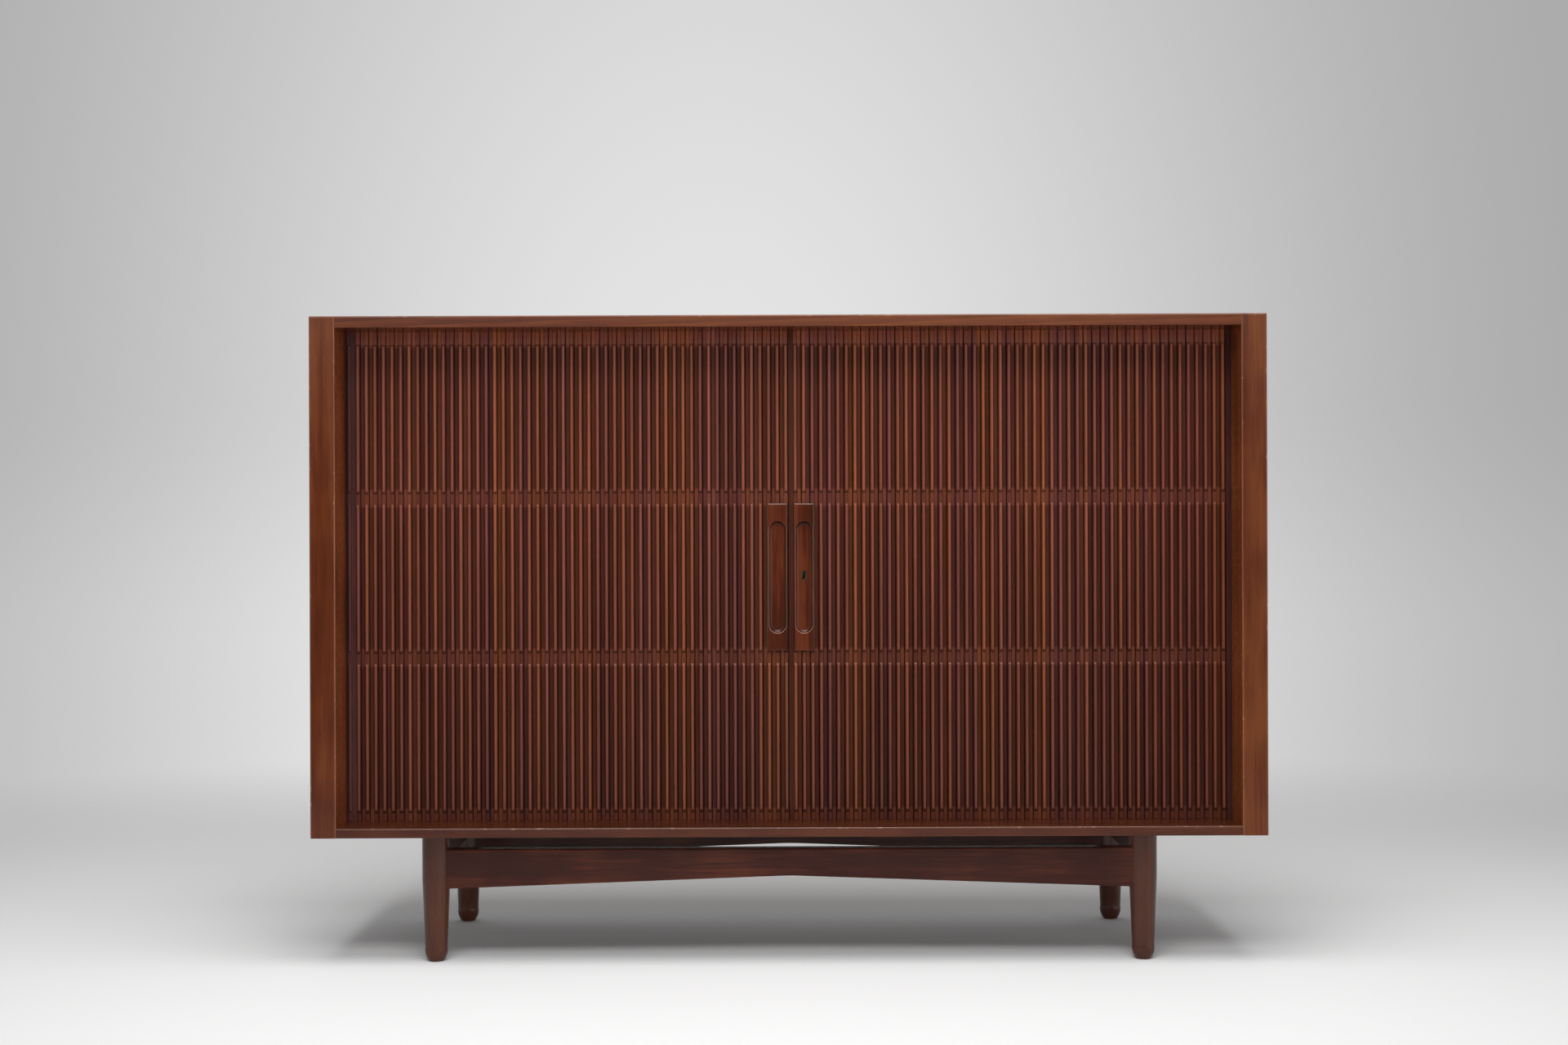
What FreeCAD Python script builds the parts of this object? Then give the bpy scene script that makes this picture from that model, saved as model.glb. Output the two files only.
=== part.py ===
import FreeCAD, Part

import math
import os

# A low cabinet with two tambour doors on a turned-leg base.
# Millimetres. The front faces -Y, +Z is up, the origin is on the floor under the middle of the case.

# Whole cabinet
WIDTH = 1500.0
DEPTH = 450.0
LEG_HEIGHT = 201.0
CASE_HEIGHT = 818.0

# Boards of the case
TOP_THICK = 18.0
BOTTOM_THICK = 15.0
SIDE_THICK = 16.0
POST_WIDTH = 40.0
POST_DEPTH = 80.0
LINER_THICK = 8.0
BACK_THICK = 8.0
BACK_INSET = 4.0
PARTITION_THICK = 16.0
SHELF_THICK = 16.0
FITTINGS_SETBACK = 36.0
SHELF_PLAY = 0.5
EDGE_ROUND = 1.5
TOP_CHAMFER = 2.0

# Shelf pins
PIN_RADIUS = 3.0
PIN_INSERT = 6.0
PIN_REACH = 9.0
PIN_FLAT_RISE = 2.0
PIN_INSET = 45.0

# Laths of the doors
GROUPS = 12
SLATS_PER_GROUP = 4
LEAD_BEADS = 3
TAIL_SLATS = 3
SLAT_THICK = 6.0
SLAT_GAP = 0.3
BEAD_WIDTH = 6.0
BEAD_RISE = 5.0
SLAB_RISE = 1.6
BEAD_ZONES = 3
BAND_HEIGHT = 19.0
LOW_BAND = 15.5
HIGH_BAND = 20.5
SLAB_CLEAR = 1.0
MEETING_GAP = 1.6
CANVAS_THICK = 0.6
CANVAS_MARGIN = 8.0

# Track that the laths run in
GROOVE_DEPTH = 6.0
GROOVE_PLAY = 1.0
FOOT_PLAY = 0.3
HEAD_PLAY = 1.0
TURN_RADIUS = 24.0
RUN_CLEAR = 1.5
POST_CLEAR = 1.0
POCKET_CLEAR = 8.0
NOTCH_WIDTH = 12.0
NOTCH_RISE = 2.5
NOTCH_DEPTH = 5.0
NOTCH_OFFSET = 3.0

# Leading edges and handles
LEAD_EXTRA = 6.0
STILE_WEB = 2.1
HANDLE_INSET = 0.8
HANDLE_RISE = 6.5
HANDLE_ROUND = 1.0
SCOOP_RIM = 2.6
SCOOP_END = 29.0
SCOOP_DEPTH = 6.5
SCOOP_FILLET = 4.0

# Lock
FIT = 0.05
KEYHOLE_RADIUS = 2.9
KEYHOLE_SLOT = 3.0
KEYHOLE_DROP = 10.0
KEYHOLE_RAISE = 6.0
KEYHOLE_WALL = 1.7
KEYHOLE_PROUD = 0.4
DRILL_PIN_RADIUS = 1.2
DRILL_PIN_SHORT = 2.0
LOCK_SETBACK = 2.2
LOCK_PAST_KEYHOLE = 6.0
LOCK_BELOW = 32.0
LOCK_ABOVE = 24.0
LOCK_DEPTH = 11.0
LOCK_WALL = 1.5
LOCK_TAB = 8.0
CLAW_DROP = 16.0
CLAW_PIVOT_IN = 5.7
CLAW_INNER = 12.5
CLAW_OUTER = 17.0
CLAW_THICK = 2.4
CLAW_PLAY = 0.5
CLAW_START = -12.0
CLAW_SPAN = 90.0
CLAW_HUB = 4.5
CLAW_PIN = 2.0
KEEPER_SETBACK = 2.2
KEEPER_WALL = 2.0
KEEPER_PLATE = 1.6
KEEPER_WIDTH = 18.0
KEEPER_BELOW = 8.0
KEEPER_ABOVE = 26.0
KEEPER_SPIKE = 1.25
KEEPER_SPIKE_IN = 12.0
KEEPER_SPIKE_WEB = 1.8
SMALL_SCREW_RADIUS = 1.5
SMALL_SCREW_WEB = 0.5
SMALL_HEAD_RADIUS = 2.8
SMALL_HEAD_RISE = 1.4
SMALL_SLOT_WIDTH = 0.8
SMALL_SLOT_DEPTH = 0.7

# Base
LEG_INSET = 189.0
LEG_SETBACK = 50.0
LEG_RADIUS = 22.0
LEG_STRAIGHT_FROM = 130.0
FOOT_RADIUS = 17.5
FOOT_HEIGHT = 22.0
FOOT_FLAT = 11.5
FOOT_BULGE_OUT_SHARE = 0.75
FOOT_BULGE_UP_SHARE = 0.32
RAIL_THICK = 26.0
RAIL_DROP = 23.0
RAIL_END_HEIGHT = 63.0
RAIL_MID_HEIGHT = 43.0
RAIL_PEAK_ROUND = 400.0
RAIL_ROUND = 4.0
BEARER_THICK = 26.0
BEARER_HEIGHT = 44.0
TENON_THICK = 10.0
TENON_LENGTH = 14.0
TENON_SHOULDER = 9.0
TENON_END_PLAY = 0.3
SCREW_RADIUS = 2.5
SCREW_HEAD_RADIUS = 4.5
SCREW_HEAD_HEIGHT = 3.0
SCREW_BITE = 8.0
SCREW_SINK = 18.0
SCREW_SPACING = 180.0

# Levels and planes that follow from the sizes above
FRONT = -DEPTH / 2
BACK = DEPTH / 2
CASE_TOP = LEG_HEIGHT + CASE_HEIGHT
FLOOR_LEVEL = LEG_HEIGHT + BOTTOM_THICK
CEILING_LEVEL = CASE_TOP - TOP_THICK
OPENING_HEIGHT = CEILING_LEVEL - FLOOR_LEVEL
OPENING_MIDDLE = (CEILING_LEVEL + FLOOR_LEVEL) / 2
POST_BACK = FRONT + POST_DEPTH
SIDE_INNER = WIDTH / 2 - SIDE_THICK
POST_INNER = WIDTH / 2 - POST_WIDTH

# The laths' front faces lie in the valley plane, and the beads stand in front of it
VALLEY = POST_BACK + POST_CLEAR + BEAD_RISE
SLAT_BACK = VALLEY + SLAT_THICK
LEAD_BACK = SLAT_BACK + LEAD_EXTRA
TRACK_FRONT = VALLEY + SLAT_THICK / 2
TRACK_SIDE = SIDE_INNER - RUN_CLEAR - BEAD_RISE - SLAT_THICK / 2
BACK_FACE = BACK - BACK_INSET - BACK_THICK
TRACK_REAR = BACK_FACE - RUN_CLEAR - BEAD_RISE - SLAT_THICK / 2
TURN_START = TRACK_SIDE - TURN_RADIUS

# The right door fills the run from the meeting gap to the turn
SLATS = GROUPS * SLATS_PER_GROUP
LEAD_START = MEETING_GAP / 2
PITCH = (TURN_START - LEAD_START) / (LEAD_BEADS + SLATS)
FLANGE = PITCH - BEAD_WIDTH - SLAT_GAP
SLAT_WIDTH = PITCH - SLAT_GAP
LEAD_SPAN = (LEAD_BEADS - 1) * PITCH + BEAD_WIDTH
SLAT_FOOT = FLOOR_LEVEL - GROOVE_DEPTH + FOOT_PLAY
SLAT_HEAD = CEILING_LEVEL + GROOVE_DEPTH - HEAD_PLAY
SLAB_LOW = FLOOR_LEVEL + SLAB_CLEAR
SLAB_HIGH = CEILING_LEVEL - SLAB_CLEAR
BANDS = LOW_BAND + HIGH_BAND + (BEAD_ZONES - 1) * BAND_HEIGHT
ZONE_HEIGHT = (OPENING_HEIGHT - BANDS) / BEAD_ZONES
HANDLE_ZONE = BEAD_ZONES // 2
HANDLE_LEVEL = FLOOR_LEVEL + LOW_BAND + HANDLE_ZONE * (ZONE_HEIGHT + BAND_HEIGHT) + ZONE_HEIGHT / 2

# Linings stand behind the laths' inner faces
LINER_OUTER = TRACK_SIDE - SLAT_THICK / 2 - POCKET_CLEAR
LINER_INNER = LINER_OUTER - LINER_THICK
LINER_FRONT = SLAT_BACK + POCKET_CLEAR
FALSE_BACK_REAR = TRACK_REAR - SLAT_THICK / 2 - POCKET_CLEAR
FALSE_BACK_FRONT = FALSE_BACK_REAR - LINER_THICK
FITTINGS_FRONT = SLAT_BACK + FITTINGS_SETBACK
SHELF_LEVEL = OPENING_MIDDLE

# The keyhole lies on the middle line of the right handle
HANDLE_MIDDLE_RIGHT = LEAD_START + FLANGE + LEAD_SPAN / 2
KEYHOLE_LEVEL = HANDLE_LEVEL + KEYHOLE_RAISE
SCOOP_FLOOR = VALLEY - HANDLE_RISE + SCOOP_DEPTH
LOCK_START = LEAD_START + LOCK_SETBACK
LOCK_END = HANDLE_MIDDLE_RIGHT + LOCK_PAST_KEYHOLE
LOCK_REAR = LEAD_BACK + LOCK_DEPTH
LOCK_LOW = KEYHOLE_LEVEL - LOCK_BELOW
LOCK_HIGH = KEYHOLE_LEVEL + LOCK_ABOVE
CLAW_X = LEAD_START + CLAW_PIVOT_IN
CLAW_Z = KEYHOLE_LEVEL - CLAW_DROP
CLAW_Y = LEAD_BACK + LOCK_DEPTH / 2

# Base
LEG_X = WIDTH / 2 - LEG_INSET
LEG_Y = DEPTH / 2 - LEG_SETBACK
RAIL_TOP = LEG_HEIGHT - RAIL_DROP
BEARER_LOW = LEG_HEIGHT - BEARER_HEIGHT

# Points nearer to each other than this count as one
SAME_PLACE = 0.01

UP = FreeCAD.Vector(0, 0, 1)
REARWARD = FreeCAD.Vector(0, 1, 0)
RIGHTWARD = FreeCAD.Vector(1, 0, 0)
ORIGIN = FreeCAD.Vector(0, 0, 0)


def box(x_low, x_high, y_low, y_high, z_low, z_high):
    corner = FreeCAD.Vector(x_low, y_low, z_low)
    return Part.makeBox(x_high - x_low, y_high - y_low, z_high - z_low, corner)


def fuse(shapes):
    joined = shapes[0].multiFuse(shapes[1:])
    return joined.removeSplitter()


def mirrored(shape):
    """The same piece on the other side of the cabinet's middle plane."""
    return shape.mirror(ORIGIN, RIGHTWARD)


def rounded(shape, radius, chosen):
    """Rounds the straight edges whose middle point passes the test."""
    edges = [edge for edge in shape.Edges if chosen(edge.CenterOfMass)]
    return shape.makeFillet(radius, edges)


def near(a, b):
    return abs(a - b) < SAME_PLACE


def save(shapes, name):
    solids = shapes if isinstance(shapes, list) else [shapes]
    shape = solids[0] if len(solids) == 1 else Part.makeCompound(solids)
    shape.exportStep("parts/" + name + ".step")


def save_pair(shapes, name):
    """Writes a right-hand piece and its mirror image."""
    solids = shapes if isinstance(shapes, list) else [shapes]
    save(solids, "right_" + name)
    save([mirrored(solid) for solid in solids], "left_" + name)


# Case


def board_outline():
    """Plan of the top and the bottom: the full inside width, notched for the front posts."""
    corners = [
        (-POST_INNER, FRONT),
        (POST_INNER, FRONT),
        (POST_INNER, POST_BACK),
        (SIDE_INNER, POST_BACK),
        (SIDE_INNER, BACK),
        (-SIDE_INNER, BACK),
        (-SIDE_INNER, POST_BACK),
        (-POST_INNER, POST_BACK),
    ]
    points = [FreeCAD.Vector(x, y, 0) for x, y in corners]
    return Part.Face(Part.makePolygon(points + points[:1]))


def rounded_rectangle(half_width, y_low, y_high, radius):
    """Plan face of a rectangle with rounded corners, centred on the middle plane."""
    block = box(-half_width, half_width, y_low, y_high, 0, radius)
    upright = [edge for edge in block.Edges if near(edge.CenterOfMass.z, radius / 2)]
    block = block.makeFillet(radius, upright)
    floor = [face for face in block.Faces if near(face.CenterOfMass.z, 0)]
    return floor[0]


def groove():
    """One closed run for the lath ends: across the front, round the turns, along the sides and the back."""
    half = SLAT_THICK / 2 + GROOVE_PLAY
    outer = rounded_rectangle(TRACK_SIDE + half, TRACK_FRONT - half, TRACK_REAR + half, TURN_RADIUS + half)
    inner = rounded_rectangle(TRACK_SIDE - half, TRACK_FRONT + half, TRACK_REAR - half, TURN_RADIUS - half)
    ring = outer.cut(inner)
    return ring.extrude(UP * GROOVE_DEPTH)


def top_panel():
    board = board_outline().extrude(UP * TOP_THICK)
    board.translate(UP * CEILING_LEVEL)
    arris = [
        edge
        for edge in board.Edges
        if near(edge.CenterOfMass.y, FRONT) and near(edge.CenterOfMass.z, CASE_TOP)
    ]
    board = board.makeChamfer(TOP_CHAMFER, arris)
    run = groove()
    run.translate(UP * CEILING_LEVEL)
    lip = TRACK_FRONT - SLAT_THICK / 2 - GROOVE_PLAY
    notch = box(
        NOTCH_OFFSET - NOTCH_WIDTH / 2,
        NOTCH_OFFSET + NOTCH_WIDTH / 2,
        lip - NOTCH_DEPTH,
        lip + GROOVE_PLAY,
        CEILING_LEVEL,
        CEILING_LEVEL + NOTCH_RISE,
    )
    return board.cut([run, notch])


def bottom_panel():
    board = board_outline().extrude(UP * BOTTOM_THICK)
    board.translate(UP * LEG_HEIGHT)
    board = rounded(board, EDGE_ROUND, lambda c: near(c.y, FRONT) and near(c.x, 0))
    run = groove()
    run.translate(UP * (FLOOR_LEVEL - GROOVE_DEPTH))
    holes = [
        Part.makeCylinder(SCREW_RADIUS + FIT, SCREW_BITE + FIT, FreeCAD.Vector(x, y, LEG_HEIGHT), UP)
        for x, y in screw_places()
    ]
    return board.cut([run] + holes)


def post():
    piece = box(POST_INNER, WIDTH / 2, FRONT, POST_BACK, LEG_HEIGHT, CASE_TOP)
    arris = [
        edge
        for edge in piece.Edges
        if near(edge.CenterOfMass.y, FRONT) and near(edge.CenterOfMass.z, CASE_TOP)
    ]
    piece = piece.makeChamfer(TOP_CHAMFER, arris)
    middle = LEG_HEIGHT + (CASE_HEIGHT - TOP_CHAMFER) / 2
    return rounded(piece, EDGE_ROUND, lambda c: near(c.y, FRONT) and near(c.z, middle))


def side_panel():
    return box(SIDE_INNER, WIDTH / 2, POST_BACK, BACK, LEG_HEIGHT, CASE_TOP)


def back_panel():
    return box(-SIDE_INNER, SIDE_INNER, BACK_FACE, BACK_FACE + BACK_THICK, FLOOR_LEVEL, CEILING_LEVEL)


def false_back():
    return box(-LINER_INNER, LINER_INNER, FALSE_BACK_FRONT, FALSE_BACK_REAR, FLOOR_LEVEL, CEILING_LEVEL)


def pin_rows():
    """Depths of the front and the rear shelf pins."""
    return [FITTINGS_FRONT + PIN_INSET, FALSE_BACK_FRONT - PIN_INSET]


def pin_level():
    return SHELF_LEVEL - PIN_FLAT_RISE


def pin_holes(wall, direction):
    """Holes that run from a wall's face along X."""
    return [
        Part.makeCylinder(
            PIN_RADIUS + FIT, PIN_INSERT + FIT, FreeCAD.Vector(wall, y, pin_level()), RIGHTWARD * direction
        )
        for y in pin_rows()
    ]


def liner():
    board = box(LINER_INNER, LINER_OUTER, LINER_FRONT, FALSE_BACK_REAR, FLOOR_LEVEL, CEILING_LEVEL)
    return board.cut(pin_holes(LINER_INNER, 1))


def partition():
    half = PARTITION_THICK / 2
    board = box(-half, half, FITTINGS_FRONT, FALSE_BACK_FRONT, FLOOR_LEVEL, CEILING_LEVEL)
    return board.cut(pin_holes(half, -1) + pin_holes(-half, 1))


def shelf():
    low = PARTITION_THICK / 2 + SHELF_PLAY
    high = LINER_INNER - SHELF_PLAY
    rear = FALSE_BACK_FRONT - SHELF_PLAY
    return box(low, high, FITTINGS_FRONT, rear, SHELF_LEVEL, SHELF_LEVEL + SHELF_THICK)


def shelf_pin(wall, y, direction):
    """A round peg with a flat on top where the shelf lies."""
    start = FreeCAD.Vector(wall - direction * PIN_INSERT, y, pin_level())
    peg = Part.makeCylinder(PIN_RADIUS, PIN_INSERT + PIN_REACH, start, RIGHTWARD * direction)
    ends = sorted([wall, wall + direction * PIN_REACH])
    above = box(ends[0], ends[1], y - PIN_RADIUS, y + PIN_RADIUS, SHELF_LEVEL, SHELF_LEVEL + PIN_RADIUS)
    return peg.cut(above)


def shelf_pins():
    pegs = []
    for y in pin_rows():
        pegs.append(shelf_pin(LINER_INNER, y, -1))
        pegs.append(shelf_pin(PARTITION_THICK / 2, y, 1))
    return pegs + [mirrored(peg) for peg in pegs]


# Doors, drawn for the right-hand side with the meeting line at the middle plane


def zone_limits(zone):
    """Lowest and highest level of one row of beads."""
    low = FLOOR_LEVEL + LOW_BAND + zone * (ZONE_HEIGHT + BAND_HEIGHT)
    return low, low + ZONE_HEIGHT


def bead(x_low, zone):
    """A raised half-round bead with domed ends, on the valley plane."""
    low, high = zone_limits(zone)
    radius = BEAD_WIDTH / 2
    stem = VALLEY - BEAD_RISE + radius
    middle = x_low + radius
    crest = FreeCAD.Vector(middle, VALLEY - BEAD_RISE, low + radius)
    foot_left = FreeCAD.Vector(x_low, VALLEY, low + radius)
    foot_right = FreeCAD.Vector(x_low + BEAD_WIDTH, VALLEY, low + radius)
    foot_middle = FreeCAD.Vector(middle, VALLEY, low + radius)
    left = FreeCAD.Vector(x_low, stem, low + radius)
    right = FreeCAD.Vector(x_low + BEAD_WIDTH, stem, low + radius)
    flank = radius * math.sqrt(0.5)
    quarter = FreeCAD.Vector(middle + flank, stem - flank, low + radius)
    section = Part.Wire(
        [
            Part.makeLine(foot_left, foot_right),
            Part.makeLine(foot_right, right),
            Part.Arc(right, crest, left).toShape(),
            Part.makeLine(left, foot_left),
        ]
    )
    half_section = Part.Wire(
        [
            Part.makeLine(foot_middle, foot_right),
            Part.makeLine(foot_right, right),
            Part.Arc(right, quarter, crest).toShape(),
            Part.makeLine(crest, foot_middle),
        ]
    )
    rod = Part.Face(section).extrude(UP * (high - low - BEAD_WIDTH))
    lower_end = Part.Face(half_section).revolve(foot_middle, REARWARD, 180)
    upper_end = Part.Face(half_section).revolve(foot_middle, REARWARD, -180)
    upper_end.translate(UP * (high - low - BEAD_WIDTH))
    return [rod, lower_end, upper_end]


def slab(x_low, z_low, z_high):
    """The low flat strip that joins the beads of one lath."""
    return box(x_low, x_low + BEAD_WIDTH, VALLEY - SLAB_RISE, VALLEY, z_low, z_high)


def slat(x_low):
    """One lath: a flat base with tongues for the track, and a strip with beads along its outer edge."""
    pieces = [box(x_low, x_low + SLAT_WIDTH, VALLEY, SLAT_BACK, SLAT_FOOT, SLAT_HEAD)]
    pieces.append(slab(x_low + FLANGE, SLAB_LOW, SLAB_HIGH))
    for zone in range(BEAD_ZONES):
        pieces += bead(x_low + FLANGE, zone)
    return fuse(pieces)


def canvas(x_low, x_high):
    low = FLOOR_LEVEL + CANVAS_MARGIN
    high = CEILING_LEVEL - CANVAS_MARGIN
    return box(x_low, x_high, SLAT_BACK, SLAT_BACK + CANVAS_THICK, low, high)


def lead_flange(is_right):
    """The right door starts with a flat strip, and the left one with a bead."""
    return FLANGE if is_right else 0.0


def lead_end(is_right):
    return LEAD_START + lead_flange(is_right) + LEAD_SPAN


def handle_span(is_right):
    first = LEAD_START + lead_flange(is_right)
    return first + HANDLE_INSET, lead_end(is_right) - HANDLE_INSET


def group_start(is_right, group):
    return lead_end(is_right) + SLAT_GAP + group * SLATS_PER_GROUP * PITCH


def slat_group(is_right, group, model):
    """Four neighbouring laths and the canvas glued behind them, which begins at the stile."""
    start = group_start(is_right, group)
    solids = []
    for place in range(SLATS_PER_GROUP):
        lath = model.copy()
        lath.translate(RIGHTWARD * (start + place * PITCH))
        solids.append(lath)
    canvas_start = start if group > 0 else stile_end(is_right) + SLAT_GAP
    solids.append(canvas(canvas_start, start + SLATS_PER_GROUP * PITCH - SLAT_GAP))
    return solids


def turn_corner_radius():
    """Distance from the turn's centre to the laths' rear corners, which meet at the canvas."""
    inner = TURN_RADIUS - SLAT_THICK / 2
    return math.hypot(inner, PITCH / 2)


def turn_step():
    """Angle that one lath takes up in the turn, in radians."""
    return 2 * math.asin(PITCH / 2 / turn_corner_radius())


def tail_angles(is_right):
    """Angle at which each tail lath stands in the turn. One that has not reached it stands straight."""
    start = group_start(is_right, GROUPS)
    places = [start + (number + 0.5) * PITCH - TURN_START for number in range(TAIL_SLATS)]
    return [max(0.0, place / PITCH) * turn_step() for place in places]


def tail_shift(is_right, number):
    """How far a tail lath that still stands straight is from the start of the turn."""
    middle = group_start(is_right, GROUPS) + (number + 0.5) * PITCH
    return min(0.0, middle - TURN_START)


def bend(shape, is_right, number):
    """Turns a lath, drawn with its middle at the start of the turn, to its place in the turn."""
    angle = math.degrees(tail_angles(is_right)[number])
    centre = FreeCAD.Vector(TURN_START, TRACK_FRONT + TURN_RADIUS, 0)
    shape.rotate(centre, UP, angle)
    shape.translate(RIGHTWARD * tail_shift(is_right, number))
    return shape


def tail_slats(is_right, model):
    solids = []
    for number in range(TAIL_SLATS):
        lath = model.copy()
        lath.translate(RIGHTWARD * (TURN_START - SLAT_WIDTH / 2))
        solids.append(bend(lath, is_right, number))
    return solids


def tail_canvas(is_right):
    """The canvas behind the tail laths, one flat strip behind each."""
    solids = []
    for number in range(TAIL_SLATS):
        strip = canvas(TURN_START - SLAT_WIDTH / 2 + CANVAS_THICK, TURN_START + SLAT_WIDTH / 2 - CANVAS_THICK)
        solids.append(bend(strip, is_right, number))
    return solids


def keyhole(radius, slot, drop, y_low, y_high):
    """A round hole with a slot below it, as a solid along Y."""
    half = slot / 2
    side = math.sqrt(radius**2 - half**2)
    x = HANDLE_MIDDLE_RIGHT
    z = KEYHOLE_LEVEL

    def point(across, up):
        return FreeCAD.Vector(x + across, y_low, z + up)

    outline = Part.Wire(
        [
            Part.Arc(point(half, -side), point(0, radius), point(-half, -side)).toShape(),
            Part.makeLine(point(-half, -side), point(-half, half - drop)),
            Part.Arc(point(-half, half - drop), point(0, -drop), point(half, half - drop)).toShape(),
            Part.makeLine(point(half, half - drop), point(half, -side)),
        ]
    )
    return Part.Face(outline).extrude(REARWARD * (y_high - y_low))


def keyhole_bore():
    """The opening that the keyhole liner is pushed into."""
    grow = KEYHOLE_WALL + FIT
    return keyhole(
        KEYHOLE_RADIUS + grow, KEYHOLE_SLOT + 2 * grow, KEYHOLE_DROP + grow, VALLEY - HANDLE_RISE, LEAD_BACK
    )


def keyhole_liner():
    front = SCOOP_FLOOR - KEYHOLE_PROUD
    outside = keyhole(
        KEYHOLE_RADIUS + KEYHOLE_WALL,
        KEYHOLE_SLOT + 2 * KEYHOLE_WALL,
        KEYHOLE_DROP + KEYHOLE_WALL,
        front,
        LEAD_BACK,
    )
    inside = keyhole(KEYHOLE_RADIUS, KEYHOLE_SLOT, KEYHOLE_DROP, front, LEAD_BACK)
    return outside.cut(inside)


def lead_slat(x_low, flange, z_low, z_high, zones):
    """One lath at the leading edge of a door, above or below the handle."""
    pieces = [box(x_low, x_low + flange + BEAD_WIDTH, VALLEY, SLAT_BACK, z_low, z_high)]
    pieces.append(slab(x_low + flange, max(z_low, SLAB_LOW), min(z_high, SLAB_HIGH)))
    for zone in zones:
        pieces += bead(x_low + flange, zone)
    return fuse(pieces)


def lead_slats(is_right):
    """The first laths of a door, parted by the handle. The very first is only as wide as its bead."""
    low, high = zone_limits(HANDLE_ZONE)
    first = LEAD_START + lead_flange(is_right)
    solids = []
    for number in range(LEAD_BEADS):
        flange = FLANGE if number > 0 else 0.0
        start = first + number * PITCH - flange
        solids.append(lead_slat(start, flange, SLAT_FOOT, low, range(HANDLE_ZONE)))
        solids.append(lead_slat(start, flange, high, SLAT_HEAD, range(HANDLE_ZONE + 1, BEAD_ZONES)))
    return solids


def stile_end(is_right):
    """The board behind the first laths stops just past the keyhole, and the canvas is glued on from there."""
    middle = lead_end(is_right) - LEAD_SPAN / 2
    return middle + KEYHOLE_RADIUS + KEYHOLE_WALL + FIT + STILE_WEB


def stile(is_right):
    """The stiff board behind the first laths. The right one shows as a flat strip at the meeting line."""
    board = box(LEAD_START, stile_end(is_right), SLAT_BACK, LEAD_BACK, SLAB_LOW, SLAB_HIGH)
    if not is_right:
        return board.cut(keeper_spikes(KEEPER_SPIKE + FIT))
    strip = box(LEAD_START, LEAD_START + FLANGE, VALLEY, SLAT_BACK, SLAT_FOOT, SLAT_HEAD)
    return fuse([board, strip]).cut([keyhole_bore()] + lock_screw_holes())


def scoop(is_right):
    """A long hollow with round ends and a soft bottom edge."""
    low, high = zone_limits(HANDLE_ZONE)
    left, right = handle_span(is_right)
    radius = (right - left) / 2 - SCOOP_RIM
    middle = (left + right) / 2
    front = VALLEY - HANDLE_RISE
    lower = low + SCOOP_END + radius
    upper = high - SCOOP_END - radius

    def point(across, z):
        return FreeCAD.Vector(middle + across, front, z)

    outline = Part.Wire(
        [
            Part.makeLine(point(radius, lower), point(radius, upper)),
            Part.Arc(point(radius, upper), point(0, upper + radius), point(-radius, upper)).toShape(),
            Part.makeLine(point(-radius, upper), point(-radius, lower)),
            Part.Arc(point(-radius, lower), point(0, lower - radius), point(radius, lower)).toShape(),
        ]
    )
    hollow = Part.Face(outline).extrude(REARWARD * SCOOP_DEPTH)
    return rounded(hollow, SCOOP_FILLET, lambda c: near(c.y, front + SCOOP_DEPTH))


def handle(is_right):
    """A block on the stile, in place of the middle beads of the first laths."""
    low, high = zone_limits(HANDLE_ZONE)
    left, right = handle_span(is_right)
    front = VALLEY - HANDLE_RISE
    block = box(left, right, front, SLAT_BACK, low, high)
    block = rounded(block, HANDLE_ROUND, lambda c: near(c.y, front))
    cuts = [scoop(is_right)]
    if is_right:
        cuts.append(keyhole_bore())
    return block.cut(cuts)


# Lock


def lock_screw_places():
    middle = (LOCK_START + LOCK_END) / 2
    return [(middle, LOCK_LOW - LOCK_TAB / 2), (middle, LOCK_HIGH + LOCK_TAB / 2)]


def lock_screw_length():
    """The shank goes through the lock's tab and nearly through the stile."""
    return LOCK_WALL + LEAD_EXTRA - SMALL_SCREW_WEB


def lock_screw_holes():
    """Blind holes in the stile and through the lock's tabs."""
    return [
        Part.makeCylinder(
            SMALL_SCREW_RADIUS + FIT,
            lock_screw_length() + FIT,
            FreeCAD.Vector(x, LEAD_BACK + LOCK_WALL, z),
            REARWARD * -1,
        )
        for x, z in lock_screw_places()
    ]


def lock_screws():
    screws = []
    for x, z in lock_screw_places():
        seat = FreeCAD.Vector(x, LEAD_BACK + LOCK_WALL, z)
        shank = Part.makeCylinder(SMALL_SCREW_RADIUS, lock_screw_length(), seat, REARWARD * -1)
        head = Part.makeCylinder(SMALL_HEAD_RADIUS, SMALL_HEAD_RISE, seat, REARWARD)
        top = seat.y + SMALL_HEAD_RISE
        half = SMALL_SLOT_WIDTH / 2
        slot = box(
            x - SMALL_HEAD_RADIUS, x + SMALL_HEAD_RADIUS, top - SMALL_SLOT_DEPTH, top, z - half, z + half
        )
        screws.append(fuse([shank, head]).cut(slot))
    return screws


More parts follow.
